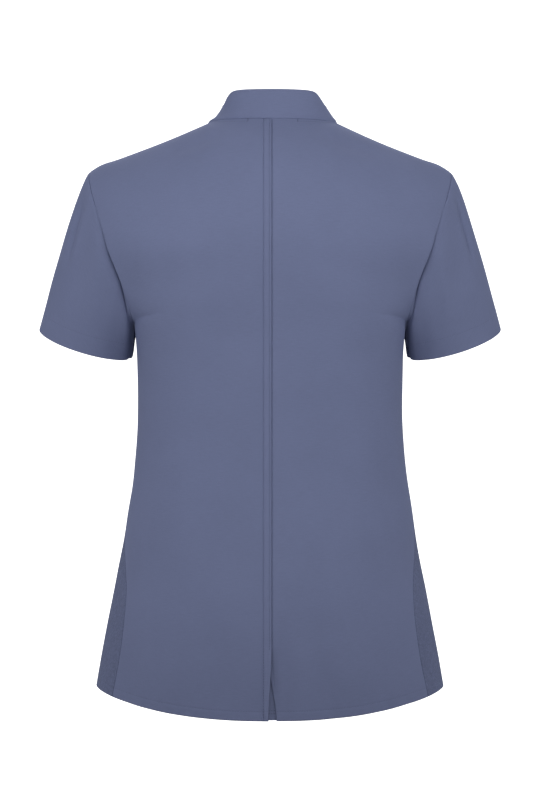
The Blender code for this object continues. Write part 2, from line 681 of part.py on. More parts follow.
def collar_sheet(edge, normals):
    """The collar's right half, from the neck seam to its free edge."""
    edge = edge.copy()
    along = lengths_along(edge)
    neck_at = along[np.argmax(edge[:, 0])]
    tangent = unit(np.gradient(edge, axis=0))
    lying = unit(np.cross(tangent, normals))
    lying = lying if lying[0, 2] > 0 else -lying
    radial = unit((edge - [0, SIDE_Y, 0]) * [1, 1, 0])
    to_side = np.abs(radial[:, :1]) ** COLLAR_SIDE_POWER
    lean = COLLAR_LEAN_BACK + (COLLAR_LEAN_SIDE - COLLAR_LEAN_BACK) * to_side
    standing = unit(np.array([[0, 0, 1.0]]) - lean * radial)
    stand = smoothstep((along / neck_at - COLLAR_STAND_FROM) / COLLAR_STAND_OVER)[:, None]
    direction = unit(lying * (1 - stand) + standing * stand)
    past = np.clip((along - neck_at) / (along[-1] - neck_at), 0, 1)
    before = np.clip(along / neck_at, 0, 1)
    height = COLLAR_V + (COLLAR_SIDE - COLLAR_V) * smoothstep(before)
    height = height + (COLLAR_BACK - COLLAR_SIDE) * smoothstep(past / COLLAR_FULL_BY)
    free = edge + direction * height[:, None]
    first = np.interp(0.0, free[:8, 0], along[:8])
    shifted = along + first * np.clip(1 - along / (COLLAR_POINT_EASE * neck_at), 0, 1)
    free = np.stack([np.interp(shifted, along, free[:, k]) for k in range(3)], axis=1)
    t = np.linspace(0, 1, COLLAR_GRID + 1)[:, None, None]
    grid = edge * (1 - t) + free * t
    grid[0] += direction * COLLAR_GAP
    share = (SEAM_GAP / 2 - grid[0, 0, 0]) / (grid[0, 1, 0] - grid[0, 0, 0])
    grid[0, 0] += (grid[0, 1] - grid[0, 0]) * share
    grid[:, 0, 0] = SEAM_GAP / 2
    outward = normals_of(grid, lambda p: (p - [0, SIDE_Y, 0]) * [1, 1, 0])
    sheet = Sheet(grid, outward, COLLAR_CLOTH)
    sheet.inward[:, 0, 0] = 0.0
    return sheet


def add_collar(right, left, material):
    """The collar is one strip: its halves share the column at the centre back."""
    outer = np.concatenate([right.points, mirrored(left.points)[:, -2::-1]], axis=1)
    inner = np.concatenate([right.inner(), mirrored(left.inner())[:, -2::-1]], axis=1)
    return add_wall("collar", outer, inner, material)


# ---------------------------------------------------------------- the garment


def cloth_material(name, roughness):
    material = bpy.data.materials.new(name)
    material.use_nodes = True
    shader = material.node_tree.nodes["Principled BSDF"]
    shader.inputs["Base Color"].default_value = (*COLOURS[name], 1.0)
    shader.inputs["Roughness"].default_value = roughness
    shader.inputs["Metallic"].default_value = 0.0
    return material


def sew_half(back, front, side, sleeve, tip, collar):
    """Sews one half's pieces to each other, all drawn as right ones."""
    rings = RINGS_OF_GRID
    sew(back, (rings, -1), side, (slice(None), 0))
    sew(front, (rings, -1), side, (slice(None), -1))
    below, above = slice(None, RING_ROWS + 1), slice(RING_ROWS, None)
    back.draw_in(below, -1, back.points[below, -2])
    front.draw_in(below, -1, front.points[below, -2])
    side.draw_in(slice(None), 0, side.points[:, 1])
    side.draw_in(slice(None), -1, side.points[:, -2])
    corner = back.neck_columns - 1
    shoulder_seam(back, slice(corner, None))
    shoulder_seam(front, slice(None))
    count = len(back.points[above])
    sew(back, (above, -1), sleeve, (0, slice(0, count)))
    over = np.arange(tip, tip + count)
    sew(front, (np.arange(len(front.points) - 1, RING_ROWS - 1, -1), -1), sleeve, (0, over))
    under = np.arange(tip + count, sleeve.points.shape[1])
    sew(side, (-1, np.arange(SIDE_GRID - 1, 0, -1)), sleeve, (0, under))
    for sheet in (back, front):
        sheet.inward[-1, -1, 1] = 0.0
    up = front.points.shape[0] - front.point_row
    sew(front, (slice(front.point_row, None), 0), collar, (0, slice(0, up)))
    sew(back, (-1, np.arange(corner - 1, -1, -1)), collar, (0, np.arange(up, up + corner)))
    back.inward[-1, corner] = front.inward[-1, 0]


def main():
    for old in list(bpy.data.objects):
        bpy.data.objects.remove(old)
    woven, knit = cloth_material("woven", 0.85), cloth_material("knit", 0.92)
    back, neck_share = shell(front=False)
    front, front_neck_share = shell(front=True)
    strip = side_strip(back, front)
    shell_back, shell_front = Shell(back, -1), Shell(front, 1)
    halves = []
    for edge in (1, -1):
        back_half = back_sheet(shell_back, neck_share, edge)
        front_half = front_sheet(shell_front, front_neck_share)
        side = side_sheet(strip)
        loop, tip = armhole_samples(back_half, front_half, side)
        sleeve = sleeve_sheet(loop + [SLEEVE_START, 0, 0], sleeve_angles(loop, tip))
        points, normals = neck_edge(back_half, front_half)
        points[-1, 0] = edge * (SEAM_X - lean_at(points[-1, 2]))
        collar = collar_sheet(points, normals)
        sew_half(back_half, front_half, side, sleeve, tip, collar)
        halves.append((back_half, front_half, side, sleeve, collar))
    right, left = halves
    add_pair("back", right[0], left[0], woven)
    add_front(right[1], woven)
    add_pair("side", right[2], left[2], knit)
    add_pair("sleeve", right[3], left[3], woven, wrap=True)
    add_collar(right[4], left[4], woven)
    add_underlap(shell_back, woven)


main()
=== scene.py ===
"""The looks of a women's short-sleeved scrub top: cloth, creases, seams, topstitching and studio.

Metres, +Z up. The back faces -Y, where the camera is, and the wearer's right side is +X. Every panel
is a thin closed shell on a fine grid. The grid follows the same rings, armhole, shoulder and neck
lines as the solids, so each panel lies where its solid does. Creases move the grid along its own
normals, and each border is rolled in at a seam or rounded at a hem.
"""

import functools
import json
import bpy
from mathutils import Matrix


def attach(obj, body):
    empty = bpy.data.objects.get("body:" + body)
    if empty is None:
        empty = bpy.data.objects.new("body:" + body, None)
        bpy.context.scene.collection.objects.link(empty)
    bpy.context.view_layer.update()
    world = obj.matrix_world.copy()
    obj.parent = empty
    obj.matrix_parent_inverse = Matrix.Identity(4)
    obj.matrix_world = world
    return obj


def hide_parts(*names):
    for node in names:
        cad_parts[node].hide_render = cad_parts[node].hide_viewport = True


bl_info = {
    "name": "Scrub top",
    "version": (1, 0, 0),
    "blender": (4, 5, 0),
    "location": "3D View > Sidebar > Scrub Top",
    "description": "Makes the cloth, seams and stitching of a short-sleeved scrub top",
    "category": "Add Mesh",
}

import bpy
import numpy as np
from bpy.props import FloatProperty, FloatVectorProperty, PointerProperty
from bpy.types import Operator, Panel, PropertyGroup
from mathutils import Vector

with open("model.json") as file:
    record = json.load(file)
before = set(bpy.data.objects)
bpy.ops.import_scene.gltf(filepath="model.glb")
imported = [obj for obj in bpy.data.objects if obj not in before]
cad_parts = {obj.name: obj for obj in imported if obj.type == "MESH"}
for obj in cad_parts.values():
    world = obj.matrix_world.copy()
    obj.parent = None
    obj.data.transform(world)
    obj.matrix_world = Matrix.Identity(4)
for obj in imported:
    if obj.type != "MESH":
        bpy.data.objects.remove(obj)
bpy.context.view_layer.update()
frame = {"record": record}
FINISHES = {m["slot"]: m for m in frame["record"]["materials"]}

# ---------------------------------------------------------------- sizes of the cut

# The body, ring by ring. z is the height at the side seam, half_width and the two depths give the
# ring's reach to the side, back and front, drop says how much lower its middle hangs, and the two
# powers how square its back and front are: 2 is an ellipse.
RING_COLUMNS = ("z", "half_width", "back", "front", "drop", "back_power", "front_power")
RINGS = (
    (-0.6725, 0.2082, -0.1500, 0.148, 0.0268, 2.3, 2.4),
    (-0.620, 0.1988, -0.1455, 0.147, 0.0200, 2.3, 2.4),
    (-0.566, 0.1886, -0.1370, 0.144, 0.0130, 2.3, 2.4),
    (-0.494, 0.1744, -0.1230, 0.136, 0.0060, 2.3, 2.4),
    (-0.422, 0.1638, -0.1090, 0.128, 0.0020, 2.3, 2.4),
    (-0.350, 0.1584, -0.1020, 0.125, 0.0000, 2.4, 2.4),
    (-0.296, 0.1588, -0.1019, 0.129, 0.0000, 2.9, 2.6),
    (-0.251, 0.1615, -0.1057, 0.1346, 0.0000, 3.7, 2.8),
)
DROP_POWER = 2.25
SIDE_Y = 0.003  # where the rings are widest, and where the shoulder seam lies
LEAN, LEAN_FROM, LEAN_RISE = 0.0045, -0.060, 0.095
TIP_X, TIP_Z, TIP_LIFT, TIP_WIDTH, TIP_HEIGHT = 0.203, -0.056, 0.0020, 0.013, 0.022
# How far the neck's foot is drawn in on the left, and where: low, rise, high and fall.
NECK_IN_LEFT = 0.0034
NECK_IN_X, NECK_IN_Z = (-0.130, 0.040, -0.030, 0.030), (0.001, 0.006, 0.031, 0.018)
UNDERARM_RISE, UNDERARM_SPREAD = 0.011, 0.0354

# Rows between the underarm and the shoulder blades: the angle on the armhole loop where a row ends,
# and the height and depth of its middle on the back and on the front.
UPPER_COLUMNS = ("angle", "back_z", "back_y", "front_z", "front_y", "back_power", "front_power")
UPPER_ROWS = (
    (38.0, -0.207, -0.1113, -0.214, 0.1374, 3.1, 2.6),
    (62.0, -0.176, -0.1166, -0.180, 0.1365, 2.5, 2.3),
    (90.0, -0.145, -0.1189, -0.145, 0.1267, 2.6, 2.7),
)
ARCH_STEPS = (0.25, 0.5, 0.75, 1.0)  # rows from there over the shoulder to its seam

ARMHOLE_Z, ARMHOLE_RISE, ARMHOLE_REACH = -0.155, 0.096, 0.074
ARMHOLE_X, ARMHOLE_LEAN, ARMHOLE_BEND, FRONT_SCOOP = 0.18875, 0.02725, 0.003, 0.009

NECK_HALF, NECK_BACK, NECK_PIT, NECK_PIT_Z = 0.0775, 0.058, 0.059, -0.045
NECK_ARCH, NECK_SOFTNESS = 50.0, 14
SHOULDER_SLOPE, SHOULDER_TIP_DROP, SHOULDER_DIP, SHOULDER_DIP_END = 0.40, 0.0036, 0.0021, 0.85
V_POINT_Z = -0.175

SIDE_TOP, SIDE_BACK, SIDE_FRONT, SIDE_FROM, SIDE_TO = 0.015, 0.073, 0.045, -0.46, -0.60

SEAM_X = 0.0024
VENT_TOP, VENT_FULL, VENT_CURVE = -0.624, -0.7075, 0.8
VENT_LEFT, VENT_RIGHT = -0.0036, 0.0054
VENT_DIP, VENT_DIP_X, VENT_DIP_WIDTH = 0.0035, 0.017, 0.010
VENT_DIP_TOP, VENT_DIP_FADE = -0.574, 0.090
# The strip beside the centre back seam stands out, and the right panel runs on under it and sinks
# in beside it.
LAP_WIDTH, LAP_RISE = 0.0099, 0.0010
LAP_UNDER = np.array([-0.0060, -0.0030, -0.0008])
LAP_BACK, LAP_GROOVE, LAP_GROOVE_WIDTH = 0.0006, 0.0009, 0.0009
# Beside the vent the right panel's edge sinks in and the strip rises a little more.
VENT_SINK, VENT_SINK_WIDTH, VENT_SINK_TOP = 0.0020, 0.0048, -0.616
VENT_SINK_GROW, VENT_SINK_LESS, VENT_SINK_EASE, VENT_RISE_GROW = 0.018, -0.660, 0.030, 0.030
UNDERLAP_LEFT, UNDERLAP_RIGHT, UNDERLAP_TOP, UNDERLAP_DIP_WIDTH = -0.016, 0.020, -0.612, 0.016
UNDERLAP_DEPTH = 0.0030  # how far it lies inside the panels' outer side
# Heights of its two rows of stitches, and how far in from its right edge the upright one runs.
UNDERLAP_STITCHES, UNDERLAP_STITCH_IN = (0.0110, 0.0075), 0.0128

COLLAR_BACK, COLLAR_SIDE, COLLAR_V = 0.0363, 0.0271, 0.0160
COLLAR_LEAN_BACK, COLLAR_LEAN_SIDE = 0.18, 0.71
COLLAR_STAND_FROM, COLLAR_STAND_OVER, COLLAR_FULL_BY, COLLAR_POINT_EASE = 0.35, 0.75, 0.45, 0.8
COLLAR_SIDE_POWER = 8

CUFF = (0.2222, 0.020, -0.2636)
CUFF_ACROSS, CUFF_BACKWARD = (0.959, 0.0, 0.283), (0.0, -0.966, -0.258)
CUFF_HALF_ACROSS, CUFF_HALF_DEPTH = 0.0590, 0.0540
SLEEVE_OUT_UNDER, SLEEVE_OUT_TIP, SLEEVE_FAN = 0.30, 0.95, 0.45
SLEEVE_HOLD_UNDER, SLEEVE_HOLD_TIP, SLEEVE_HOLD_HEM = 0.75, 0.36, 1.05
# Low on the armhole the sleeve sinks in beside the seam, at these turns round it in degrees (low,
# rise, high and fall). The back panel's edge moves back over it, and a little out halfway up.
SLEEVE_SINK, SLEEVE_SINK_EDGE, SLEEVE_SINK_FADE = 0.0115, 0.0006, 0.0125
SLEEVE_SINK_TURN = (14, 40, 136, 65)
BACK_LIFT, BACK_LIFT_WIDTH, BACK_LIFT_Z = 0.0065, 0.017, (-0.2495, 0.020, -0.105, 0.060)
BACK_LIFT_OUT, BACK_LIFT_OUT_Z, BACK_LIFT_OUT_HEIGHT = 0.25, -0.157, 0.025

# ---------------------------------------------------------------- sizes of the sewing

CLOTH, KNIT, COLLAR_CLOTH = 0.0009, 0.0011, 0.0020  # thickness
LEAST_WALL = 0.00015  # where a roll has used the thickness up
# Radius of the roll at each kind of border.
ROLL = {
    "centre": 0.0007, "armhole": 0.0012, "neck": 0.0008, "knit": 0.0009, "sleeve": 0.0013,
    "hem": 0.0008, "collar_edge": 0.00095, "underlap": 0.00035,
}
HEM_CLOTH = 0.0018  # where the hem is turned up inside
WALL_BLEND = 0.006  # a seam turns its walls to one direction over this distance
HALF_GAP = 0.00005  # half of what two sewn panels stand apart
TUCK = 0.0002  # how far the inner sides run past a seam, so that no light comes through
HEM_GROOVE, CUFF_GROOVE = 0.00018, 0.00012
LAP_ROW_GROOVES, LAP_ROW_WIDTH = (0.00055, 0.00080), 0.0009
LAP_EDGE = 0.0008  # the strip falls off over this distance
# How far the groove runs on past a neck tack, and half the height and the fade of a vent tack.
TACK_REACH, TACK_HEIGHT, TACK_FADE = 0.0012, 0.0016, 0.004
COLLAR_GROOVE_AT, COLLAR_GROOVE = 0.0042, (0.00025, 0.0007)
NECK_GROOVE = (0.00040, 0.0009)  # depth and width
SEAM_PUCKER, SEAM_PUCKER_REACH, HEM_PUCKER, HEM_PUCKER_REACH = 0.00022, 0.011, 0.00018, 0.006
# Height, distance from the seam and width of the swell where allowances lie under the cloth.
CAP_PUFF, COLLAR_PUFF = (0.0003, 0.0045, 0.0035), (0.0006, 0.0035, 0.0030)

# Distances from a border at which the grid has a line, so that rolls, turns and stitch grooves have
# their shape.
SEAM_LINES = np.array([HALF_GAP, 0.0002, 0.0004, 0.0007, 0.0011, 0.0018, 0.0030])
LAP_ROWS = (0.0025, 0.0091)  # the two rows of topstitching beside the centre back seam
LAP_LINES = np.array(
    [HALF_GAP, 0.0002, 0.0004, 0.0007, 0.0011, 0.0018, 0.0025, 0.0032, 0.0043, 0.0060, 0.0080]
    + [0.0086, 0.0091, 0.0096, 0.0100, 0.0104, 0.0108, 0.0114, 0.0128]
)
HEM_ROW, HEM_TURN = 0.0110, 0.0125
HEM_LINES = np.array(
    [0.0, 0.0001, 0.0003, 0.0006, 0.0010, 0.0020, 0.0045, 0.0075, 0.0100, 0.0110, 0.0120]
    + [0.0126, 0.0134, 0.0160]
)
CUFF_ROW, CUFF_TURN = 0.0230, 0.0245
CUFF_LINES = np.array(
    [0.0, 0.0001, 0.0003, 0.0006, 0.0010, 0.0020, 0.0045, 0.0080, 0.0120, 0.0160, 0.0200]
    + [0.0220, 0.0230, 0.0240, 0.0246, 0.0254, 0.0275]
)
NECK_ROW = 0.0055  # topstitching below the collar
NECK_LINES = np.array(
    [HALF_GAP, 0.0002, 0.0004, 0.0007, 0.0011, 0.0018, 0.0030, 0.0045, 0.0055, 0.0065, 0.0085]
)
EDGE_LINES = np.array([0.0, 0.0001, 0.0003, 0.0006, 0.0010, 0.0018, 0.0030, 0.0042, 0.0050, 0.0060])
TACK_LEFT, TACK_RIGHT = -0.0303, 0.0286  # where the neck topstitching starts on each back panel
TACK_Z = -0.6190  # the tacks above the vent, where the inner row ends

# Steps of each grid between the lines that follow its borders.
RING_STEPS, UPPER_STEPS = 118, 74
NECK_STEPS, SHOULDER_STEPS, FRONT_STEPS, SIDE_STEPS = 30, 36, 56, 22
SLEEVE_STEPS, COLLAR_STEPS = 36, 7
UNDERLAP_ROWS, UNDERLAP_COLUMNS, UNDERLAP_EDGE_LINES = 22, 12, 6
FINE, STRIP_COLUMNS = 600, 41  # points of a ring or row that is drawn, and of a side panel's row
ROW_CROWDING = 1.35
NECK_EASE = 0.004  # the strip and the groove beside it end this far below the neck seam
NEAR_SIDE = 0.985  # the share of a row where a column's width at the side is measured
V_SLANT = 1.09  # what the V's slant adds to distances along a row

BODY_RADIUS = 0.15  # turns an angle round the body into a distance
RIDGE_FROM, RIDGE_GROW, RIDGE_REACH = -0.10, 0.04, 0.035  # the shoulder's ridge stays even

# Creases of the body. Each runs from one turn and height to another, a turn being an angle round
# the body in degrees: 0 is the centre back, 90 the wearer's right side. bow bends it sideways,
# width is its half width and depth how far it stands out, or lies in where it is negative.
# Columns: turn, z, to turn, to z, bow, width, depth.
BODY_CREASES = (
    (46.0, -0.330, 49.0, -0.560, 0.004, 0.020, 0.0030),
    (-47.0, -0.335, -48.0, -0.550, -0.003, 0.019, 0.0029),
    (20.0, -0.330, 17.0, -0.470, 0.003, 0.015, -0.0008),
    (-19.0, -0.345, -15.0, -0.500, -0.003, 0.016, -0.0008),
    (64.0, -0.350, 69.0, -0.500, 0.003, 0.014, -0.0017),
    (-66.0, -0.360, -70.0, -0.490, -0.003, 0.014, -0.0016),
    (80.0, -0.272, 60.0, -0.340, 0.006, 0.010, -0.0005),
    (-80.0, -0.274, -63.0, -0.334, -0.006, 0.010, -0.0005),
    (86.0, -0.400, 70.0, -0.425, 0.002, 0.006, -0.0009),
    (-86.0, -0.410, -72.0, -0.432, -0.002, 0.006, -0.0008),
    (25.0, -0.610, 29.0, -0.760, 0.003, 0.009, -0.0026),
    (36.0, -0.560, 39.0, -0.760, 0.003, 0.012, 0.0014),
    (-24.0, -0.570, -27.0, -0.760, -0.003, 0.013, -0.0012),
    (-41.0, -0.600, -44.0, -0.760, -0.002, 0.010, 0.0013),
    (55.0, -0.580, 56.0, -0.760, 0.002, 0.010, -0.0016),
    (-60.0, -0.590, -58.0, -0.760, -0.002, 0.011, -0.0014),
    (88.0, -0.540, 92.0, -0.760, 0.003, 0.013, -0.0016),
    (-92.0, -0.550, -94.0, -0.760, -0.003, 0.012, -0.0015),
    (118.0, -0.570, 116.0, -0.760, 0.003, 0.012, 0.0015),
    (-121.0, -0.580, -124.0, -0.760, 0.002, 0.013, 0.0014),
    (141.0, -0.540, 144.0, -0.760, 0.004, 0.012, -0.0019),
    (-146.0, -0.520, -142.0, -0.760, -0.003, 0.011, -0.0020),
    (163.0, -0.470, 166.0, -0.760, 0.003, 0.014, 0.0014),
    (-170.0, -0.500, -172.0, -0.760, -0.003, 0.013, -0.0013),
    (150.0, -0.250, 128.0, -0.345, 0.008, 0.010, -0.0018),
    (-150.0, -0.252, -127.0, -0.350, -0.008, 0.010, -0.0018),
    (146.0, -0.275, 137.0, -0.430, 0.006, 0.011, -0.0014),
    (-147.0, -0.280, -139.0, -0.420, -0.006, 0.011, -0.0014),
    (100.0, -0.268, 124.0, -0.262, 0.004, 0.007, -0.0012),
    (-100.0, -0.266, -123.0, -0.260, -0.004, 0.007, -0.0012),
    (112.0, -0.380, 118.0, -0.490, 0.003, 0.013, 0.0012),
    (-110.0, -0.375, -117.0, -0.500, -0.003, 0.013, 0.0012),
    (168.0, -0.210, 158.0, -0.300, 0.003, 0.009, -0.0009),
    (-167.0, -0.214, -158.0, -0.310, -0.003, 0.009, -0.0009),
)

# Soft dents and swells of the body between two points, where turns and heights say little.
# Columns: x, y, z, to x, to y, to z, width, depth.
SPOTS = (
    (0.068, -0.0696, -0.024, 0.112, -0.0598, -0.039, 0.010, -0.0032),
    (-0.068, -0.0690, -0.024, -0.104, -0.0605, -0.036, 0.010, -0.0032),
    (0.076, 0.052, -0.030, 0.118, 0.036, -0.042, 0.010, -0.0018),
    (-0.078, 0.052, -0.030, -0.116, 0.038, -0.042, 0.010, -0.0018),
    (0.150, -0.070, -0.090, 0.165, -0.078, -0.190, 0.013, -0.0012),
    (-0.152, -0.070, -0.095, -0.165, -0.078, -0.195, 0.013, -0.0012),
    (0.140, 0.085, -0.095, 0.150, 0.095, -0.190, 0.013, -0.0014),
    (-0.140, 0.085, -0.098, -0.150, 0.095, -0.192, 0.013, -0.0014),
)

# Creases of a sleeve: turn is the angle round it in degrees, 0 under the arm, 90 at the back and 180
# at the shoulder tip, and down the distance from the armhole seam.
# Columns: turn, down, to turn, to down, bow, width, depth.
SLEEVE_CREASES = (
    (147.0, 0.006, 142.0, 0.100, 0.002, 0.0060, -0.0048),
    (156.0, 0.012, 153.0, 0.085, 0.000, 0.0055, 0.0007),
    (128.0, -0.010, 112.0, 0.120, 0.004, 0.0110, -0.0011),
    (100.0, -0.010, 84.0, 0.100, 0.004, 0.0100, 0.0010),
    (58.0, -0.010, 50.0, 0.110, 0.003, 0.0085, -0.0006),
    (36.0, -0.010, 32.0, 0.090, 0.002, 0.0070, 0.0006),
    (18.0, -0.010, 12.0, 0.080, 0.000, 0.0060, -0.0018),
    (-22.0, -0.010, -14.0, 0.085, 0.000, 0.0060, -0.0016),
    (-46.0, -0.010, -40.0, 0.100, 0.002, 0.0070, 0.0013),
    (-70.0, -0.010, -58.0, 0.120, 0.003, 0.0080, -0.0020),
    (-104.0, -0.010, -90.0, 0.110, 0.003, 0.0100, 0.0011),
    (-134.0, -0.010, -120.0, 0.125, 0.003, 0.0100, -0.0013),
    (-160.0, 0.016, -156.0, 0.090, 0.002, 0.0055, -0.0014),
)
SLEEVE_RADIUS = 0.062

# Plane waves that keep the cloth from lying dead even: wavelength and height of each group.
UNEVENNESS = ((0.190, 0.00070), (0.105, 0.00040), (0.058, 0.00018))
WAVES, WAVE_GAIN, WAVE_SEED = 5, 1.6, 11
# Wavelengths of a pucker, of its drift and of its swell along the seam.
PUCKER_WAVES = (0.0115, 0.083, 0.137)

# ---------------------------------------------------------------- small helpers

DENSE, COLUMNS = 16, 161  # dense rows for each row of the tables, and columns of a half shell
LAST_RING = len(RINGS) - 1
LAST_ROW = LAST_RING + len(UPPER_ROWS) + len(ARCH_STEPS)
RING = dict(zip(RING_COLUMNS, np.array(RINGS).T))
UPPER = dict(zip(UPPER_COLUMNS, np.array(UPPER_ROWS).T))
UNDER = len(HEM_LINES) + RING_STEPS - 1 + len(SEAM_LINES)  # the grid's row at the underarm
ONE_LINE = np.zeros(1)  # a border with no crowded lines beside it


def smoothstep(t):
    t = np.clip(t, 0.0, 1.0)
    return t * t * (3 - 2 * t)


def window(t, low, rise, high, fall):
    """Grows from 0 at low over rise, and falls over the distance fall to 0 at high."""
    return smoothstep((t - low) / rise) * smoothstep((high - t) / fall)


def bell(t):
    return np.exp(-(t**2))


def swell(distance, height, middle, width):
    """A rise of the given height and width round a distance."""
    return height * bell((distance - middle) / width)


def size_of(vectors):
    return np.linalg.norm(vectors, axis=-1)


def unit(vectors):
    return vectors / np.maximum(size_of(vectors)[..., None], 1e-12)


def mirrored(values):
    """Points, or places on the cut, with their first coordinate turned round."""
    return values * ([-1.0] + [1.0] * (values.shape[-1] - 1))


def lengths_along(points, axis=0):
    """Distances along a line, or along every line of a grid, from the first point."""
    return np.insert(np.cumsum(size_of(np.diff(points, axis=axis)), axis=axis), 0, 0.0, axis=axis)


def read_off(wanted, along, values):
    """Vectors given at the distances along, interpolated at the wanted ones."""
    return np.stack([np.interp(wanted, along, column) for column in values.T], axis=-1)


def at_lengths(line, wanted):
    """Points of a polyline at the given distances along it."""
    return read_off(wanted, lengths_along(line), line)


def evenly(line, start=0.0, end=None, count=COLUMNS):
    """Points at even distances along a polyline, from start to end."""
    along = lengths_along(line)
    return read_off(np.linspace(start, along[-1] if end is None else end, count), along, line)


def nearest(values, wanted):
    return int(np.argmin(np.abs(values - wanted)))


def lean_at(z):
    """How far the neck hangs to the right at a height: it grows from LEAN_FROM over LEAN_RISE."""
    return LEAN * smoothstep((z - LEAN_FROM) / LEAN_RISE)


def leaned(points):
    """Points moved to the right by the lean, drawn in at the left side of the neck's foot and
    rounded up at the shoulder tips."""
    x, z = points[..., :1], points[..., 2:]
    tip = bell((np.abs(x) - TIP_X) / TIP_WIDTH) * bell((z - TIP_Z) / TIP_HEIGHT)
    foot = window(z, *NECK_IN_Z) * window(x, *NECK_IN_X)
    return points + (lean_at(z) + NECK_IN_LEFT * foot) * [1, 0, 0] + TIP_LIFT * tip * [0, 0, 1]


def hermite(t, start, leave, end, arrive):
    """A cubic from start to end with the slopes leave and arrive, at the shares t."""
    begun = (2 * t**3 - 3 * t**2 + 1) * start + (t**3 - 2 * t**2 + t) * leave
    return begun + (3 * t**2 - 2 * t**3) * end + (t**3 - t**2) * arrive


def spline_rows(rows):
    """Dense cubic rows through the given ones, whose slopes allow for the rows' mean distances."""
    rows = np.array(rows)
    spans = size_of(np.diff(rows, axis=0)).mean(axis=1)
    slopes = np.gradient(rows, np.insert(np.cumsum(spans), 0, 0.0), axis=0)
    t = (np.arange(DENSE) / DENSE)[:, None, None]
    parts = [
        hermite(t, rows[k], slopes[k] * span, rows[k + 1], slopes[k + 1] * span)
        for k, span in enumerate(spans)
    ]
    return np.concatenate(parts + [rows[-1:]])


# ---------------------------------------------------------------- the shells


def armhole(angle, front):
    """The armhole loop: x = X - LEAN cos a - BEND sin 2a, less a scoop of sin^2 a on the front,
    y = REACH sin a to the back or front, z = Z - RISE cos a. 0 degrees is the underarm."""
    a = np.radians(angle)
    x = ARMHOLE_X - ARMHOLE_LEAN * np.cos(a) - ARMHOLE_BEND * np.sin(2 * a)
    x = x - (FRONT_SCOOP if front else 0.0) * np.sin(a) ** 2
    y = SIDE_Y + (1.0 if front else -1.0) * ARMHOLE_REACH * np.sin(a)
    return np.stack([x, y, ARMHOLE_Z - ARMHOLE_RISE * np.cos(a)], axis=-1)


def half_ring(k, front):
    """Ring k from its middle to its side: a quarter superellipse, x = width sin^(2/p) t and
    y = depth cos^(2/p) t, whose middle hangs by drop (y / depth)^DROP_POWER."""
    word = "front" if front else "back"
    depth, power = RING[word][k] - SIDE_Y, RING[word + "_power"][k]
    t = np.linspace(0, np.pi / 2, FINE)
    x = RING["half_width"][k] * np.sin(t) ** (2 / power)
    y = depth * np.cos(t) ** (2 / power)
    climb = UNDERARM_RISE * (k / LAST_RING) ** 4 * (1 - bell(y / UNDERARM_SPREAD))
    z = RING["z"][k] - RING["drop"][k] * (y / depth) ** DROP_POWER + climb
    return np.stack([x, y + SIDE_Y, z], axis=1)


def side_panel_reach(k, front):
    """How far the side panel reaches from the side along ring k."""
    share = (SIDE_FROM - RING["z"][k]) / (SIDE_FROM - SIDE_TO)
    return SIDE_TOP + (SIDE_FRONT if front else SIDE_BACK) * smoothstep(share)


def ring_row(k, front):
    line = half_ring(k, front)
    return evenly(line, end=lengths_along(line)[-1] - side_panel_reach(k, front))


def upper_row(k, front):
    """A row from the middle to the armhole: y falls off as a superellipse of x, and z runs from
    the middle's height to the armhole's by a smooth step."""
    word = "front" if front else "back"
    middle_z, middle_y, power = (UPPER[word + end][k] for end in ("_z", "_y", "_power"))
    end = armhole(UPPER["angle"][k], front)
    share = (end[1] - SIDE_Y) / (middle_y - SIDE_Y)
    reach = end[0] / (1 - share**power) ** (1 / power)
    x = np.linspace(0, end[0], FINE)
    y = SIDE_Y + (middle_y - SIDE_Y) * (1 - (x / reach) ** power) ** (1 / power)
    z = middle_z + (end[2] - middle_z) * smoothstep(x / end[0])
    return evenly(np.stack([x, y, z], axis=1))


def neck_and_shoulder(front):
    """The last row: a quarter ellipse of neckline, then the shoulder line down to its tip with a
    slight sag. Also the share of the row that is neckline."""
    t = np.linspace(0, np.pi / 2, 200)
    depth, low = (NECK_PIT, NECK_PIT_Z) if front else (-NECK_BACK, 0.0)
    neck = np.stack([NECK_HALF * np.sin(t), SIDE_Y + depth * np.cos(t), low * np.cos(t) ** 2], 1)
    tip = ARMHOLE_X + ARMHOLE_LEAN
    x = np.linspace(NECK_HALF, tip, 200)[1:]
    share = (x - NECK_HALF) / (tip - NECK_HALF)
    z = -SHOULDER_SLOPE * (x - NECK_HALF) - SHOULDER_TIP_DROP * share**6
    z = z - SHOULDER_DIP * np.sin(np.pi * np.clip(share / SHOULDER_DIP_END, 0, 1))
    line = np.concatenate([neck, np.stack([x, np.full_like(x, SIDE_Y), z], axis=1)])
    return evenly(line), lengths_along(neck)[-1] / lengths_along(line)[-1]


def softened(row, width):
    """A row averaged with Gaussian weights over width columns, which rounds its neck corner."""
    if width < 0.5:
        return row
    reach = int(3 * width)
    after = 2 * row[-1] - row[-2 : -reach - 2 : -1]
    line = np.concatenate([mirrored(row[reach:0:-1]), row, after])
    weights = np.exp(-0.5 * (np.arange(-reach, reach + 1) / width) ** 2)
    weights /= weights.sum()
    return np.stack([np.convolve(column, weights, "valid") for column in line.T], axis=1)


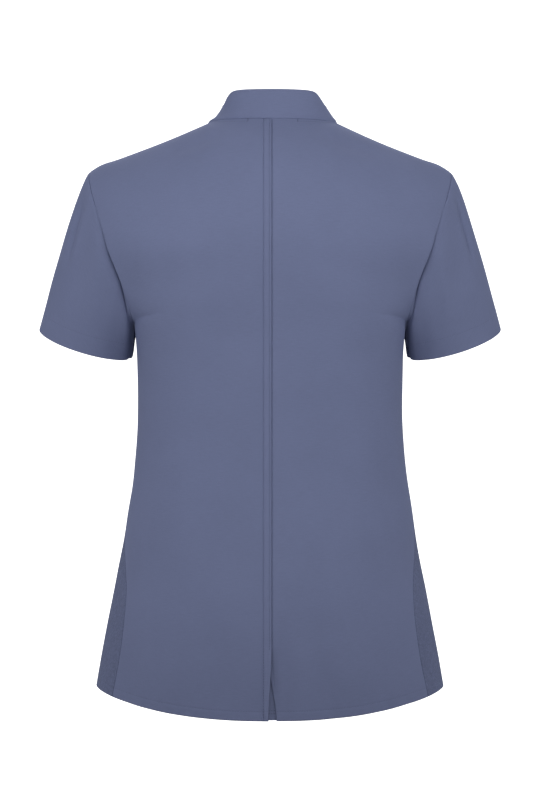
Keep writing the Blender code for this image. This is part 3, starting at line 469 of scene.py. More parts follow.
def arch_row(base, top, neck_share, step, front):
    """A row that share of the way over the shoulder: rise by sin, and depth by cos, of an arch
    that spans NECK_ARCH degrees at the middle and 90 at the shoulder."""
    columns = np.linspace(0, 1, COLUMNS)
    full = np.radians(NECK_ARCH + (90 - NECK_ARCH) * smoothstep(columns / neck_share))[:, None]
    top = softened(top, NECK_SOFTNESS * (1 - step))
    a = full * step
    row = base + (top - base) * (np.sin(a) / np.sin(full))
    back = (np.cos(a) - np.cos(full)) / (1 - np.cos(full))
    row[:, 1:2] = top[:, 1:2] + (base[:, 1:2] - top[:, 1:2]) * back
    return row + (armhole(90 + 90 * step, front) - row[-1]) * (columns**6)[:, None]


def side_angle(front):
    """Where the side panel's seam meets the armhole loop."""
    end = ring_row(LAST_RING, front)[-1]
    return np.degrees(np.arcsin(abs(end[1] - SIDE_Y) / ARMHOLE_REACH))


def shell_rows(front):
    """Dense rows of a half shell from the hem to the shoulder, and the last row's neckline share."""
    rows = [ring_row(k, front) for k in range(len(RINGS))]
    miss = armhole(side_angle(front), front) - rows[-1][-1]
    rows[-1] = rows[-1] + miss * (np.linspace(0, 1, COLUMNS)[:, None] ** 6)
    rows += [upper_row(k, front) for k in range(len(UPPER_ROWS))]
    top, neck_share = neck_and_shoulder(front)
    base = rows[-1]
    rows += [arch_row(base, top, neck_share, step, front) for step in ARCH_STEPS]
    return spline_rows(rows), neck_share


def side_strip(back_rows, front_rows):
    """Dense rows of the right side panel, from its back seam to its front seam."""
    rows = []
    for k in range(len(RINGS)):
        back, front = half_ring(k, False), half_ring(k, True)
        middle = lengths_along(back)[-1]
        ends = (middle - side_panel_reach(k, False), middle + side_panel_reach(k, True))
        rows.append(evenly(np.concatenate([back, front[-2::-1]]), *ends, STRIP_COLUMNS))
    dense = spline_rows(rows)
    q = np.linspace(0, 1, STRIP_COLUMNS)[None, :, None]
    back_miss = back_rows[: len(dense), -1:] - dense[:, :1]
    front_miss = front_rows[: len(dense), -1:] - dense[:, -1:]
    return dense + (1 - q) * back_miss + q * front_miss


def normals_of(grid, outward, closed=False):
    """Unit normals of a grid, the cross product of its two directions, on the side where
    outward(points) points on the whole."""
    if closed:
        across = np.roll(grid, -1, axis=1) - np.roll(grid, 1, axis=1)
    else:
        across = np.gradient(grid, axis=1)
    normal = unit(np.cross(across, np.gradient(grid, axis=0)))
    return normal if (normal * outward(grid)).sum(-1).mean() > 0 else -normal


def sampled(grid, rows, columns):
    """Points of a dense grid at fractional rows and columns."""
    rows, columns = np.broadcast_arrays(rows, columns)
    r = np.clip(rows, 0, grid.shape[0] - 1.000001)
    c = np.clip(columns, 0, grid.shape[1] - 1.000001)
    i, j = r.astype(int), c.astype(int)
    a, b = (r - i)[..., None], (c - j)[..., None]
    near = grid[i, j] * (1 - b) + grid[i, j + 1] * b
    far = grid[i + 1, j] * (1 - b) + grid[i + 1, j + 1] * b
    return near * (1 - a) + far * a


class Shell:
    """A dense half shell, sampled at rows of the tables and signed shares of a row."""

    def __init__(self, grid):
        self.grid = grid

    def at(self, rows, shares):
        """Points, mirrored where the share is below zero."""
        points = sampled(self.grid, rows * DENSE, np.abs(shares) * (self.grid.shape[1] - 1))
        return points * (np.where(np.less(shares, 0), -1.0, 1.0)[..., None] * [1, 0, 0] + [0, 1, 1])

    def across(self, rows, shares):
        """Metres for each unit of share."""
        return size_of(self.at(rows, shares + 0.01) - self.at(rows, shares)) / 0.01

    def climb(self, row, shares):
        """Metres for each row of the tables."""
        return size_of(self.at(row + 0.05, shares) - self.at(row, shares)) / 0.05


# ---------------------------------------------------------------- creases


def wave_height(angle, down, radius, creases):
    """Height of a table of creases at places on a tube: each crease is a line with a bow, with the
    cross section (1 - 0.4 q) exp(-q / 2), where q is the squared distance over width, faded at
    both ends."""
    height = np.zeros(angle.shape)
    for turn, start, to_turn, end, bow, width, depth in creases:
        middle = np.radians((turn + to_turn) / 2)
        u = ((angle - middle + np.pi) % (2 * np.pi) - np.pi) * radius
        v = down - (start + end) / 2
        run = np.array([np.radians(to_turn - turn) * radius, end - start])
        length = np.hypot(*run)
        e = run / length
        share = (u * e[0] + v * e[1]) / length + 0.5
        aside = u * e[1] - v * e[0] - bow * (1 - (2 * share - 1) ** 2)
        q = (aside / width) ** 2
        height += depth * window(share, 0, 0.35, 1, 0.35) * (1 - 0.4 * q) * np.exp(-q / 2)
    return height


def spot_height(points):
    """Height of the soft spots: exp(-q / 2) by the squared distance from a line in space."""
    height = np.zeros(points.shape[:-1])
    for spot in SPOTS:
        start, end, width, depth = np.array(spot[:3]), np.array(spot[3:6]), *spot[6:]
        run = end - start
        share = np.clip((points - start) @ run / (run @ run), 0, 1)
        off = size_of(points - start - share[..., None] * run)
        height += depth * np.exp(-((off / width) ** 2) / 2)
    return height


def uneven(points):
    """The mean of some plane waves in set directions for each row of UNEVENNESS."""
    random = np.random.default_rng(WAVE_SEED)
    height = np.zeros(points.shape[:-1])
    for size, depth in UNEVENNESS:
        ways = unit(random.normal(size=(WAVES, 3)))
        phases = random.uniform(0, 2 * np.pi, WAVES)
        waves = np.sin(points @ ways.T * 2 * np.pi / size + phases)
        height += depth * waves.mean(axis=-1) * WAVE_GAIN
    return height


def pucker(along, off, reach):
    """Small irregular waves beside a line of stitches, faded by exp(-(off / reach)^2)."""
    turn, drift, slow = (along / length * 2 * np.pi for length in PUCKER_WAVES)
    wave = np.sin(turn + 2.2 * np.sin(drift))
    return wave * (0.55 + 0.45 * np.sin(slow + 0.7)) * bell(off / reach)


def body_height(points, depth):
    """How far the body's cloth stands out from its smooth form."""
    x, from_side, z = points[..., 0], points[..., 1] - SIDE_Y, points[..., 2]
    height = wave_height(np.arctan2(x, -from_side), z, BODY_RADIUS, BODY_CREASES)
    near_side = 1 - smoothstep(np.abs(from_side) / RIDGE_REACH)
    ridge = smoothstep((z - RIDGE_FROM) / RIDGE_GROW) * near_side
    height = height + (spot_height(points) + uneven(points)) * (1 - ridge)
    seam = pucker(z, x - SEAM_X + lean_at(z), SEAM_PUCKER_REACH) * (from_side < 0)
    return depth * (height + SEAM_PUCKER * seam)


# ---------------------------------------------------------------- sheets of cloth

# Each border of a grid, and the line of points beside it.
BORDERS = {
    "left": (np.s_[:, 0], np.s_[:, 1]),
    "right": (np.s_[:, -1], np.s_[:, -2]),
    "bottom": (0, 1),
    "top": (-1, -2),
}


def closed_up(grid):
    """A grid with its first column once more behind the last."""
    return np.concatenate([grid, grid[:, :1]], axis=1)


class Sheet:
    """One panel on a grid: its outer points, its normals and its distances from the borders."""

    def __init__(self, points, outward, thickness, closed=False):
        self.points, self.outward, self.closed = points, outward, closed
        self.measure()
        self.outer_depth = np.zeros(points.shape[:2])
        self.inner_depth = np.full(points.shape[:2], thickness)
        self.turns, self.past = [], np.zeros(points.shape)

    def measure(self):
        self.normals = normals_of(self.points, self.outward, self.closed)
        self.left, self.bottom = lengths_along(self.points, 1), lengths_along(self.points)
        self.right, self.top = self.left[:, -1:] - self.left, self.bottom[-1:] - self.bottom

    def raise_by(self, height):
        """Moves the points out along the normals."""
        self.points = self.points + self.normals * height[..., None]
        self.measure()

    def roll(self, border, radius, amount=1.0, both=False):
        """Rounds a border off by a quarter circle, on the inside too where both is set."""
        short = np.clip(radius - getattr(self, border), 0, radius)
        depth = (radius - np.sqrt(radius**2 - short**2)) * amount
        self.outer_depth = np.maximum(self.outer_depth, depth)
        if both:
            self.inner_depth = self.inner_depth - depth

    def sew(self, border, radius, amount=1.0):
        """Rolls a border in at a seam and runs its inner side a little past it, where amount isn't
        zero."""
        self.roll(border, radius, amount)
        edge, beside = BORDERS[border]
        past = TUCK * unit(self.points[edge] - self.points[beside])
        self.past[edge] += past * np.greater(amount, 0)

    def groove(self, distance, depth, width=0.0006):
        """A shallow groove at a distance of zero, where stitches draw the cloth in."""
        self.outer_depth = self.outer_depth + depth * bell(distance / width)

    def hem(self, border, row, turn, depth=HEM_GROOVE):
        """Thickens a hem up to its turned edge, rounds its fold and draws it in at its stitches."""
        distance = getattr(self, border)
        self.inner_depth = np.where(distance < turn, HEM_CLOTH, self.inner_depth)
        self.roll(border, ROLL["hem"], both=True)
        self.groove(distance - row, depth)

    def turn_walls(self, border, change, places=slice(None), off=0.0):
        """Turns the wall's direction by change at places of a border, less and less away from it."""
        whole = np.zeros(self.points[BORDERS[border][0]].shape)
        whole[places] = change
        whole = np.expand_dims(whole, int(border in ("left", "right")))
        self.turns.append((whole, 1 - smoothstep((getattr(self, border) + off) / WALL_BLEND)))

    def inward(self):
        weights = sum((w for _, w in self.turns), np.zeros(self.points.shape[:2]))
        change = sum((c * w[..., None] for c, w in self.turns), np.zeros(self.points.shape))
        return -self.normals + change / np.maximum(weights, 1.0)[..., None]

    def outer(self):
        return self.points + self.inward() * self.outer_depth[..., None]

    def inner(self):
        depth = np.maximum(self.inner_depth, self.outer_depth + LEAST_WALL)
        return self.points + self.inward() * depth[..., None] + self.past

    def layers(self, side="right"):
        """Outer points, inner points and places on the flat cut in metres, along each row and up
        from the first row. Those of a left panel are mirrored."""
        layers = self.outer(), self.inner(), np.stack([self.left, self.bottom], axis=-1)
        return layers if side == "right" else tuple(mirrored(layer) for layer in layers)

    def area(self):
        grid = closed_up(self.points) if self.closed else self.points
        a, b = grid[1:, 1:] - grid[:-1, :-1], grid[1:, :-1] - grid[:-1, 1:]
        return float(size_of(np.cross(a, b)).sum() / 2)


def seam_change(own, other):
    """What turns a wall's outward direction own to the one that it shares with the other panel.
    Where the two panels fold back on each other each keeps its own."""
    weight = smoothstep(((own * other).sum(-1, keepdims=True) + 0.1) / 0.5)
    turned = unit(unit(own + other) * weight + own * (1 - weight))
    return own - turned / np.maximum((turned * own).sum(-1, keepdims=True), 0.6)


def without(normals, axis):
    """What turns walls at a border into the plane across the given axis."""
    flat = normals.copy()
    flat[..., axis] = 0.0
    return normals - unit(flat)


def lines_between(start, end, near, far, steps, crowding=1.0):
    """Grid lines along the last axis: at start plus near, at end minus far, and evenly between."""
    first = np.asarray(start)[..., None] + near
    last = np.asarray(end)[..., None] - far[..., ::-1]
    t = 1 - (1 - np.linspace(0, 1, steps + 1)[1:-1]) ** crowding
    middle = first[..., -1:] + (last[..., :1] - first[..., -1:]) * t
    parts = (np.broadcast_to(p, (*middle.shape[:-1], p.shape[-1])) for p in (first, middle, last))
    return np.concatenate(list(parts), axis=-1)


def panel_rows(shell, low_shares, high_shares):
    """Rows of a panel's grid, (rows, columns): close together at the hem, below the underarm and
    at the neck and shoulder seams."""
    low, under = shell.climb(0, low_shares), shell.climb(LAST_RING - 0.05, low_shares)
    neck = NECK_LINES / shell.climb(LAST_ROW - 0.05, high_shares)[:, None]
    hem, seam = HEM_LINES / low[:, None], SEAM_LINES / under[:, None]
    rings = lines_between(0.0, LAST_RING, hem, seam, RING_STEPS)
    upper = lines_between(LAST_RING, LAST_ROW, ONE_LINE, neck, UPPER_STEPS, ROW_CROWDING)
    return np.concatenate([rings, upper], axis=1).T


# ---------------------------------------------------------------- panels


def vent_opening(z):
    """0 above the vent, growing to 1 where it is all open."""
    return smoothstep((VENT_TOP - z) / (VENT_TOP - VENT_FULL)) ** VENT_CURVE


def vent_dip(points, width):
    """How far the cloth to the right of the vent sinks."""
    x, z = points[..., 0], points[..., 2]
    low = smoothstep((VENT_DIP_TOP - z) / VENT_DIP_FADE)
    return VENT_DIP * low * np.exp(-0.5 * ((x - VENT_DIP_X) / width) ** 2)


def panel_height(sheet, side, depth, phase):
    """What moves a body panel's grid: creases by its real side, 1 right or -1 left, and the hem's
    pucker."""
    hem = pucker(sheet.left + phase, sheet.bottom - HEM_ROW, HEM_PUCKER_REACH)
    return body_height(sheet.points * [side, 1, 1], depth) + HEM_PUCKER * hem


def back_sheet(shell, neck_share, edge, depth):
    """A back panel from the centre back to the side, edge -1 left or 1 right, drawn as a right one.
    A row's shares start at the centre back seam and end at the side seam or the armhole."""
    near = LAP_LINES if edge < 0 else np.concatenate([LAP_UNDER, SEAM_LINES])

    def columns_of(rows):
        """Shares of every column at one row for each entry of rows."""
        speed, edge_speed = (shell.across(rows, share)[:, None] for share in (0.0, NEAR_SIDE))
        z = shell.at(rows, 0.0)[:, 2:]
        opening = vent_opening(z)
        if edge < 0:
            x = SEAM_X - lean_at(z) + VENT_LEFT * opening - LAP_BACK
            lines = near + VENT_LEFT * opening * smoothstep(near / LAP_ROWS[1])
        else:
            x = SEAM_X - lean_at(z) + VENT_RIGHT * opening
            lines = np.where(near < 0, near * np.maximum(1 - opening, 0.02), near)
        first = edge * x / speed + lines / speed
        rest = 1 - first[:, -1:]
        to_neck = (neck_share - first[-1, -1]) / rest[-1, 0]
        neck = first[:, -1:] + rest * (np.linspace(0, 1, NECK_STEPS + 1)[1:] * to_neck)
        far = lines_between(neck[:, -1], 1.0, ONE_LINE, SEAM_LINES / edge_speed, SHOULDER_STEPS)
        return np.concatenate([first, neck, far[:, 1:]], axis=1)

    rows = panel_rows(shell, *columns_of(np.array([0.0, LAST_ROW])))
    points = shell.at(rows, columns_of(rows[:, 0]))
    sheet = Sheet(points, lambda p: p * [1, 1, 0] - [0, 0.05, -0.02], CLOTH)
    sheet.corner, sheet.start = len(near) + NECK_STEPS - 1, int((near < 0).sum())
    height, z = panel_height(sheet, edge, depth, 0.03), points[..., 2]
    from_seam = sheet.left - VENT_LEFT * vent_opening(z[:, :1])
    from_seam[:, : len(near)] = near
    below_neck = smoothstep(sheet.top / NECK_EASE)
    if edge < 0:
        rise = LAP_RISE * (below_neck + smoothstep((VENT_SINK_TOP - z) / VENT_RISE_GROW) / 2)
        height += rise * (1 - smoothstep((from_seam - LAP_WIDTH) / LAP_EDGE))
    else:
        beside = np.maximum(sheet.left - sheet.left[:, sheet.start, None] + LAP_BACK, 0)
        shut = (1 - vent_opening(z)) * below_neck
        sink = 1 - 0.5 * smoothstep((VENT_SINK_LESS - z) / VENT_SINK_EASE)
        sink = sink * smoothstep((VENT_SINK_TOP - z) / VENT_SINK_GROW)
        height -= vent_dip(points, VENT_DIP_WIDTH)
        height -= LAP_GROOVE * shut * bell(beside / LAP_GROOVE_WIDTH)
        height -= VENT_SINK * sink * bell(beside / VENT_SINK_WIDTH)
    lift = BACK_LIFT * window(z, *BACK_LIFT_Z) * np.exp(-sheet.right / BACK_LIFT_WIDTH)
    out = BACK_LIFT_OUT * bell((z - BACK_LIFT_OUT_Z) / BACK_LIFT_OUT_HEIGHT)
    sheet.points = sheet.points + lift[..., None] * (out[..., None] * [1, 0, 0] - [0, 1, 0])
    sheet.raise_by(height)
    sheet.points[-1, sheet.corner :, 1] = SIDE_Y - HALF_GAP
    sheet.roll("left", ROLL["centre"])
    sheet.sew("right", ROLL["armhole"])
    sheet.sew("top", ROLL["neck"])
    sheet.hem("bottom", HEM_ROW, HEM_TURN)
    if edge < 0:
        shown = smoothstep((z - TACK_Z) / TACK_FADE), 1.0
        for row, depth, share in zip(LAP_ROWS, LAP_ROW_GROOVES, shown):
            sheet.groove(from_seam - row, depth * share, LAP_ROW_WIDTH)
    tack = abs(TACK_RIGHT if edge > 0 else TACK_LEFT)
    sheet.past_tack = points[-1, :, 0] > tack - TACK_REACH
    stitched = sheet.past_tack * (np.arange(points.shape[1]) <= sheet.corner)
    sheet.groove(sheet.top - NECK_ROW + 1.0 * (1 - stitched), *NECK_GROOVE)
    return sheet


def front_sheet(shell, neck_share, side, depth):
    """Half of the front from its middle, or above the V's point from the V's edge, to the side."""
    climb = np.linspace(LAST_RING, LAST_ROW, 2000)
    v_row = float(np.interp(V_POINT_Z, shell.at(climb, 0.0)[:, 2], climb))

    def start_of(rows):
        """The share at the V's edge, a straight line from its point to the side neck point as
        seen from the front, and 0 below the point."""
        dense = np.linspace(0, 1, 400)
        points = shell.at(rows[:, None], dense)
        beyond = points[..., 0] / NECK_HALF - (points[..., 2] - V_POINT_Z) / -V_POINT_Z
        found = [0.0 if b[0] >= 0 else float(np.interp(0, b, dense)) for b in beyond]
        return np.where(rows >= LAST_ROW, neck_share, found)

    def columns_of(rows):
        start = start_of(rows)
        near = NECK_LINES / shell.across(rows, start)[:, None] * V_SLANT
        far = SEAM_LINES / shell.across(rows, NEAR_SIDE)[:, None]
        return lines_between(start, 1.0, near, far, FRONT_STEPS)

    rows = panel_rows(shell, *columns_of(np.array([0.0, LAST_ROW])))
    point_row = nearest(rows[:, 0], v_row)
    rows[point_row] += v_row - rows[point_row, 0]
    points = shell.at(rows, columns_of(rows[:, 0]))
    points[: point_row + 1, 0, 0] = 0.0
    sheet = Sheet(points, lambda p: p * [1, 1, 0] + [0, 0.05, 0.02], CLOTH)
    sheet.point_row = point_row
    sheet.raise_by(panel_height(sheet, side, depth, 0.05))
    sheet.points[: point_row + 1, 0, 0] = 0.0
    sheet.points[-1, :, 1] = SIDE_Y + HALF_GAP
    sheet.above = smoothstep((np.arange(len(points)) - point_row) / 3.0)[:, None]
    sheet.sew("left", ROLL["neck"], sheet.above)
    sheet.sew("right", ROLL["armhole"])
    sheet.sew("top", ROLL["neck"])
    sheet.hem("bottom", HEM_ROW, HEM_TURN)
    sheet.groove(sheet.left - NECK_ROW + 1.0 * (sheet.above < 1), *NECK_GROOVE)
    return sheet


def side_sheet(strip, side, depth):
    """The side panel, from its back seam to its front seam. Its rows run evenly from the back
    panel's to the front panel's, so that the seams meet point for point."""
    last, count = strip.shape[1] - 1, 400
    rows = np.linspace(0, LAST_RING, count)
    along = lengths_along(sampled(strip, rows * DENSE, last // 2))
    climb, under = along[20] / rows[20], (along[-1] - along[-20]) / (rows[-1] - rows[-20])
    row = lines_between(0.0, LAST_RING, HEM_LINES / climb, SEAM_LINES / under, RING_STEPS)
    row = row[:, None] * DENSE
    seam = SEAM_LINES / lengths_along(sampled(strip, row, np.arange(last + 1)), 1)[:, -1:]
    points = sampled(strip, row, lines_between(0.0, 1.0, seam, seam, SIDE_STEPS) * last)
    sheet = Sheet(points, lambda p: p * [1, 0, 0], KNIT)
    sheet.raise_by(panel_height(sheet, side, depth, 0.09))
    for border in ("left", "right", "top"):
        sheet.sew(border, ROLL["knit"])
    sheet.hem("bottom", HEM_ROW, HEM_TURN)
    return sheet


def armhole_loop(back, front, side):
    """The armhole's border up the back, down the front and back under the arm: its points and the
    panels' normals there."""
    loops = []
    for name in ("points", "normals"):
        a, b, c = (getattr(sheet, name) for sheet in (back, front, side))
        loops.append(np.concatenate([a[UNDER:, -1], b[UNDER:-1, -1][::-1], c[-1, -2:0:-1]]))
    return loops


def sleeve_angles(loop, tip):
    """Angle round the cuff for each armhole point, in proportion to the length along the seam:
    0 at the underarm and 180 at the shoulder tip."""
    closed = np.concatenate([loop, loop[:1]])
    along = lengths_along(closed)
    whole, to_tip = along[-1], along[tip]
    under = tip + int(np.argmin(np.abs(closed[tip:, 1] - SIDE_Y) + (closed[tip:, 2] > ARMHOLE_Z)))
    start = along[under] + closed[under, 1] - SIDE_Y - whole
    along = along[:-1]
    behind = (along - start) / (to_tip - start)
    ahead = 1 + (along - to_tip) / (whole + start - to_tip)
    return np.radians(np.where(along <= to_tip, behind, ahead) * 180)


def sleeve_sheet(loop, angles, side, depth):
    """Cubic curves from the armhole to the cuff's ellipse, resampled by length so that the grid is
    close at the seam and in the hem."""
    across, backward = np.array(CUFF_ACROSS), np.array(CUFF_BACKWARD)
    cos, sin = np.cos(angles)[:, None], np.sin(angles)[:, None]
    cuff = np.array(CUFF) - CUFF_HALF_ACROSS * cos * across + CUFF_HALF_DEPTH * sin * backward
    axis = unit(np.cross(across, backward))
    axis = axis if axis[2] < 0 else -axis
    span = size_of(cuff - loop)[:, None]
    high = (1 - cos) / 2
    out = SLEEVE_OUT_UNDER + (SLEEVE_OUT_TIP - SLEEVE_OUT_UNDER) * high**2
    away = out * [1, 0, 0] - [0, 0, 1] + SLEEVE_FAN * sin * [0, 1, 0] * (1 - high) ** 0.5
    hold = SLEEVE_HOLD_UNDER + (SLEEVE_HOLD_TIP - SLEEVE_HOLD_UNDER) * high
    t = np.linspace(0, 1, 160)[:, None, None]
    dense = hermite(t, loop, unit(away) * span * hold, cuff, axis * span * SLEEVE_HOLD_HEM)
    ends = lengths_along(dense)[-1]
    wanted = lines_between(0.0, ends, SEAM_LINES, CUFF_LINES, SLEEVE_STEPS)
    points = np.stack([at_lengths(dense[:, j], wanted[j]) for j in range(len(loop))], axis=1)
    centre = points.mean(axis=1, keepdims=True)
    sheet = Sheet(points, lambda p: p - centre, CLOTH, closed=True)
    down, turn = sheet.bottom, np.broadcast_to(angles, points.shape[:2])
    # The two sleeves differ a little: their creases are turned and their unevenness is not mirrored.
    own = turn + 0.05 * side * np.sin(2 * turn + 1.0)
    height = wave_height(own, down, SLEEVE_RADIUS, SLEEVE_CREASES)
    height += uneven(points * [side, 1.3, 1.0]) * smoothstep(down / 0.02)
    height *= depth * smoothstep(down / 0.006)
    low = window(np.abs((np.degrees(angles) + 180) % 360 - 180), *SLEEVE_SINK_TURN)
    sink = (1 - np.exp(-down / SLEEVE_SINK_EDGE)) * np.exp(-down / SLEEVE_SINK_FADE)
    height -= SLEEVE_SINK * low * sink
    height += swell(down, *CAP_PUFF) * smoothstep(high[:, 0] * 3)
    hem = pucker(angles * SLEEVE_RADIUS, sheet.top - CUFF_ROW, HEM_PUCKER_REACH)
    sheet.raise_by(height + HEM_PUCKER * hem)
    sheet.sew("bottom", ROLL["sleeve"])
    sheet.hem("top", CUFF_ROW, CUFF_TURN, CUFF_GROOVE)
    return sheet


def neck_edge(back, front):
    """The right half of the neck seam from the V's point to the centre back, and its normals."""
    up, neck = slice(front.point_row, None), slice(back.start, back.corner)
    pairs = ((front.points, back.points), (front.normals, back.normals))
    return [np.concatenate([a[up, 0], b[-1, neck][::-1]]) for a, b in pairs]


def collar_sheet(edge, normals, side, depth):
    """The collar's right half. It rises straight from the neck seam, lying in the front's plane at
    the V and standing up with a lean from the side neck on, to a height that grows to the back."""
    along = lengths_along(edge)
    neck_at = along[np.argmax(edge[:, 0])]
    tangent = unit(at_lengths(edge, along + 0.008) - at_lengths(edge, along - 0.008))
    lying = unit(np.cross(tangent, normals))
    lying = lying if lying[0, 2] > 0 else -lying
    radial = unit((edge - [0, SIDE_Y, 0]) * [1, 1, 0])
    to_side = np.abs(radial[:, :1]) ** COLLAR_SIDE_POWER
    lean = COLLAR_LEAN_BACK + (COLLAR_LEAN_SIDE - COLLAR_LEAN_BACK) * to_side
    standing = unit([0, 0, 1.0] - lean * radial)
    stand = smoothstep((along / neck_at - COLLAR_STAND_FROM) / COLLAR_STAND_OVER)[:, None]
    direction = unit(lying * (1 - stand) + standing * stand)
    past = np.clip((along - neck_at) / (along[-1] - neck_at), 0, 1)
    height = COLLAR_V + (COLLAR_SIDE - COLLAR_V) * smoothstep(along / neck_at)
    height = height + (COLLAR_BACK - COLLAR_SIDE) * smoothstep(past / COLLAR_FULL_BY)
    free = edge + direction * height[:, None]
    low = along < 0.05
    first = np.interp(0.0, free[low, 0], along[low])
    shifted = along + first * np.clip(1 - along / (COLLAR_POINT_EASE * neck_at), 0, 1)
    free = read_off(shifted, along, free)
    height = size_of(free - edge)[:, None]
    lines = SEAM_LINES / height, EDGE_LINES / height
    t = lines_between(0.0, 1.0, *lines, COLLAR_STEPS).T[..., None]
    points = edge * (1 - t) + free * t
    share = (HALF_GAP - points[0, 0, 0]) / (points[0, 1, 0] - points[0, 0, 0])
    points[0, 0] += (points[0, 1] - points[0, 0]) * share
    points[:, 0, 0] = HALF_GAP
    sheet = Sheet(points, lambda p: (p - [0, SIDE_Y, 0]) * [1, 1, 0], COLLAR_CLOTH)
    puff = swell(sheet.bottom, *COLLAR_PUFF) * stand[:, 0]
    height = depth * uneven(points * [1.4 * side, 1.4, 1.4]) + puff
    sheet.raise_by(height * smoothstep(sheet.bottom / 0.003))
    sheet.points[:, 0, 0] = HALF_GAP
    sheet.sew("bottom", ROLL["neck"])
    sheet.roll("left", ROLL["neck"])
    sheet.roll("top", ROLL["collar_edge"], both=True)
    sheet.groove(sheet.top - COLLAR_GROOVE_AT, *COLLAR_GROOVE)
    return sheet


def underlap_sheet(shell):
    """The vent's underlap: the back's own surface, moved in under both panels."""

    def outward(points):
        return points * [0, 1, 0]

    low = np.linspace(0, 2, 100)
    top = float(np.interp(UNDERLAP_TOP, shell.at(low, 0.0)[:, 2], low))
    near = (HEM_LINES + 0.001) / float(shell.climb(0, 0.0))
    rows = lines_between(0.0, top, near, ONE_LINE, UNDERLAP_ROWS)[:, None]
    edges = HEM_LINES[: UNDERLAP_EDGE_LINES]
    x = lines_between(UNDERLAP_LEFT, UNDERLAP_RIGHT, edges, edges, UNDERLAP_COLUMNS)
    points = shell.at(rows, x / shell.across(rows, 0.0))
    depth = UNDERLAP_DEPTH + vent_dip(points, UNDERLAP_DIP_WIDTH)
    sheet = Sheet(points - normals_of(points, outward) * depth[..., None], outward, CLOTH)
    for border in ("left", "right", "bottom"):
        sheet.roll(border, ROLL["underlap"], both=True)
    sheet.groove(sheet.bottom - HEM_ROW, HEM_GROOVE)
    return sheet


def sew_half(back, front, side, sleeve, collar):
    """Turns the walls along each seam of one half to the directions that its two panels share."""
    rings, above = slice(0, UNDER), slice(UNDER, None)
    for panel, column, border in ((back, 0, "left"), (front, -1, "right")):
        a, b = panel.normals[rings, -1], side.normals[:, column]
        panel.turn_walls("right", seam_change(a, b), rings)
        side.turn_walls(border, seam_change(b, a))
    normals, start = armhole_loop(back, front, side)[1], sleeve.normals[0]
    sleeve.turn_walls("bottom", seam_change(start, normals))
    change, count = seam_change(normals, start), len(back.points) - UNDER
    back.turn_walls("right", change[:count], above)
    front.turn_walls("right", change[count - 1 : 2 * count - 1][::-1], above)
    side.turn_walls("top", change[2 * count - 1 :][::-1], slice(1, -1))
    edge, base = neck_edge(back, front)[1], collar.normals[0]
    collar.turn_walls("bottom", seam_change(base, edge))
    change, rows = seam_change(edge, base), len(front.points) - front.point_row
    v = slice(front.point_row, None)
    front.turn_walls("left", change[:rows], v, off=1.0 * (front.above < 0.01))
    top = without(back.normals[-1], 1)
    top[back.start : back.corner] = change[rows:][::-1]
    top[: back.start] = top[back.start]
    back.turn_walls("top", top)
    front.turn_walls("top", without(front.normals[-1], 1))
    back.turn_walls("left", without(back.normals[:, 0], 0))


@functools.lru_cache(maxsize=2)
def cut_cloth(depth):
    """Every sheet of the garment: both halves, drawn as right ones, and the underlap. depth scales
    the creases."""
    (back_rows, back_neck), (front_rows, front_neck) = shell_rows(False), shell_rows(True)
    strip = side_strip(back_rows, front_rows)
    halves = {"underlap": underlap_sheet(Shell(back_rows))}
    for edge, word in ((1, "right"), (-1, "left")):
        back = back_sheet(Shell(back_rows), back_neck, edge, depth)
        front = front_sheet(Shell(front_rows), front_neck, edge, depth)
        side = side_sheet(strip, edge, depth)
        loop = armhole_loop(back, front, side)[0]
        angles = sleeve_angles(loop, len(back.points) - UNDER - 1)
        sleeve = sleeve_sheet(loop + [2 * HALF_GAP, 0, 0], angles, edge, depth)
        points, normals = neck_edge(back, front)
        points[-1, 0] = edge * (SEAM_X - lean_at(points[-1, 2]))
        collar = collar_sheet(points, normals, edge, depth)
        sew_half(back, front, side, sleeve, collar)
        halves[word] = dict(back=back, front=front, side=side, sleeve=sleeve, collar=collar)
    return halves


# ---------------------------------------------------------------- meshes


def new_piece(name, points, faces, material):
    """An object of one smooth mesh, in the scene."""
    mesh = bpy.data.meshes.new(name)
    mesh.from_pydata(points, [], faces)
    mesh.shade_smooth()
    mesh.materials.append(material)
    piece = bpy.data.objects.new(name, mesh)
    bpy.context.scene.collection.objects.link(piece)
    return piece


def grid_faces(rows, columns, wrap=False):
    """Quads of a grid of points, numbered row by row."""
    i, j = np.indices((rows - 1, columns if wrap else columns - 1)).reshape(2, -1)
    k = (j + 1) % columns
    i, under = i * columns, (i + 1) * columns
    return np.stack([i + j, i + k, under + k, under + j], axis=1)


def rim_of(faces):
    """The border edges of a set of quads, each in its face's direction."""
    starts, ends = faces.ravel(), np.roll(faces, -1, axis=1).ravel()
    size = int(faces.max()) + 1
    open_ones = ~np.isin(starts * size + ends, ends * size + starts)
    return starts[open_ones], ends[open_ones]


def shell_mesh(name, outer, inner, uv, material, faces=None):
    """A closed wall between two grids of points that share their faces, with uv in metres."""
    faces = grid_faces(*outer.shape[:2]) if faces is None else faces
    outer, inner, uv = (layer.reshape(-1, layer.shape[-1]) for layer in (outer, inner, uv))
    starts, ends = rim_of(faces)
    rim = np.stack([ends, starts, starts + len(outer), ends + len(outer)], axis=1)
    quads = np.concatenate([faces, faces[:, ::-1] + len(outer), rim])
    points = leaned(np.concatenate([outer, inner]))
    a, b, c, d = (points[quads[:, k]] for k in range(4))
    if (a * (np.cross(b, c) + np.cross(c, d))).sum() < 0:
        quads = quads[:, ::-1]
    piece = new_piece(name, points, quads, material)
    around = np.concatenate([uv, uv])[quads.ravel()]
    places = np.ascontiguousarray(around, dtype=np.float32).ravel()
    piece.data.uv_layers.new(name="cut").data.foreach_set("uv", places)
    return piece


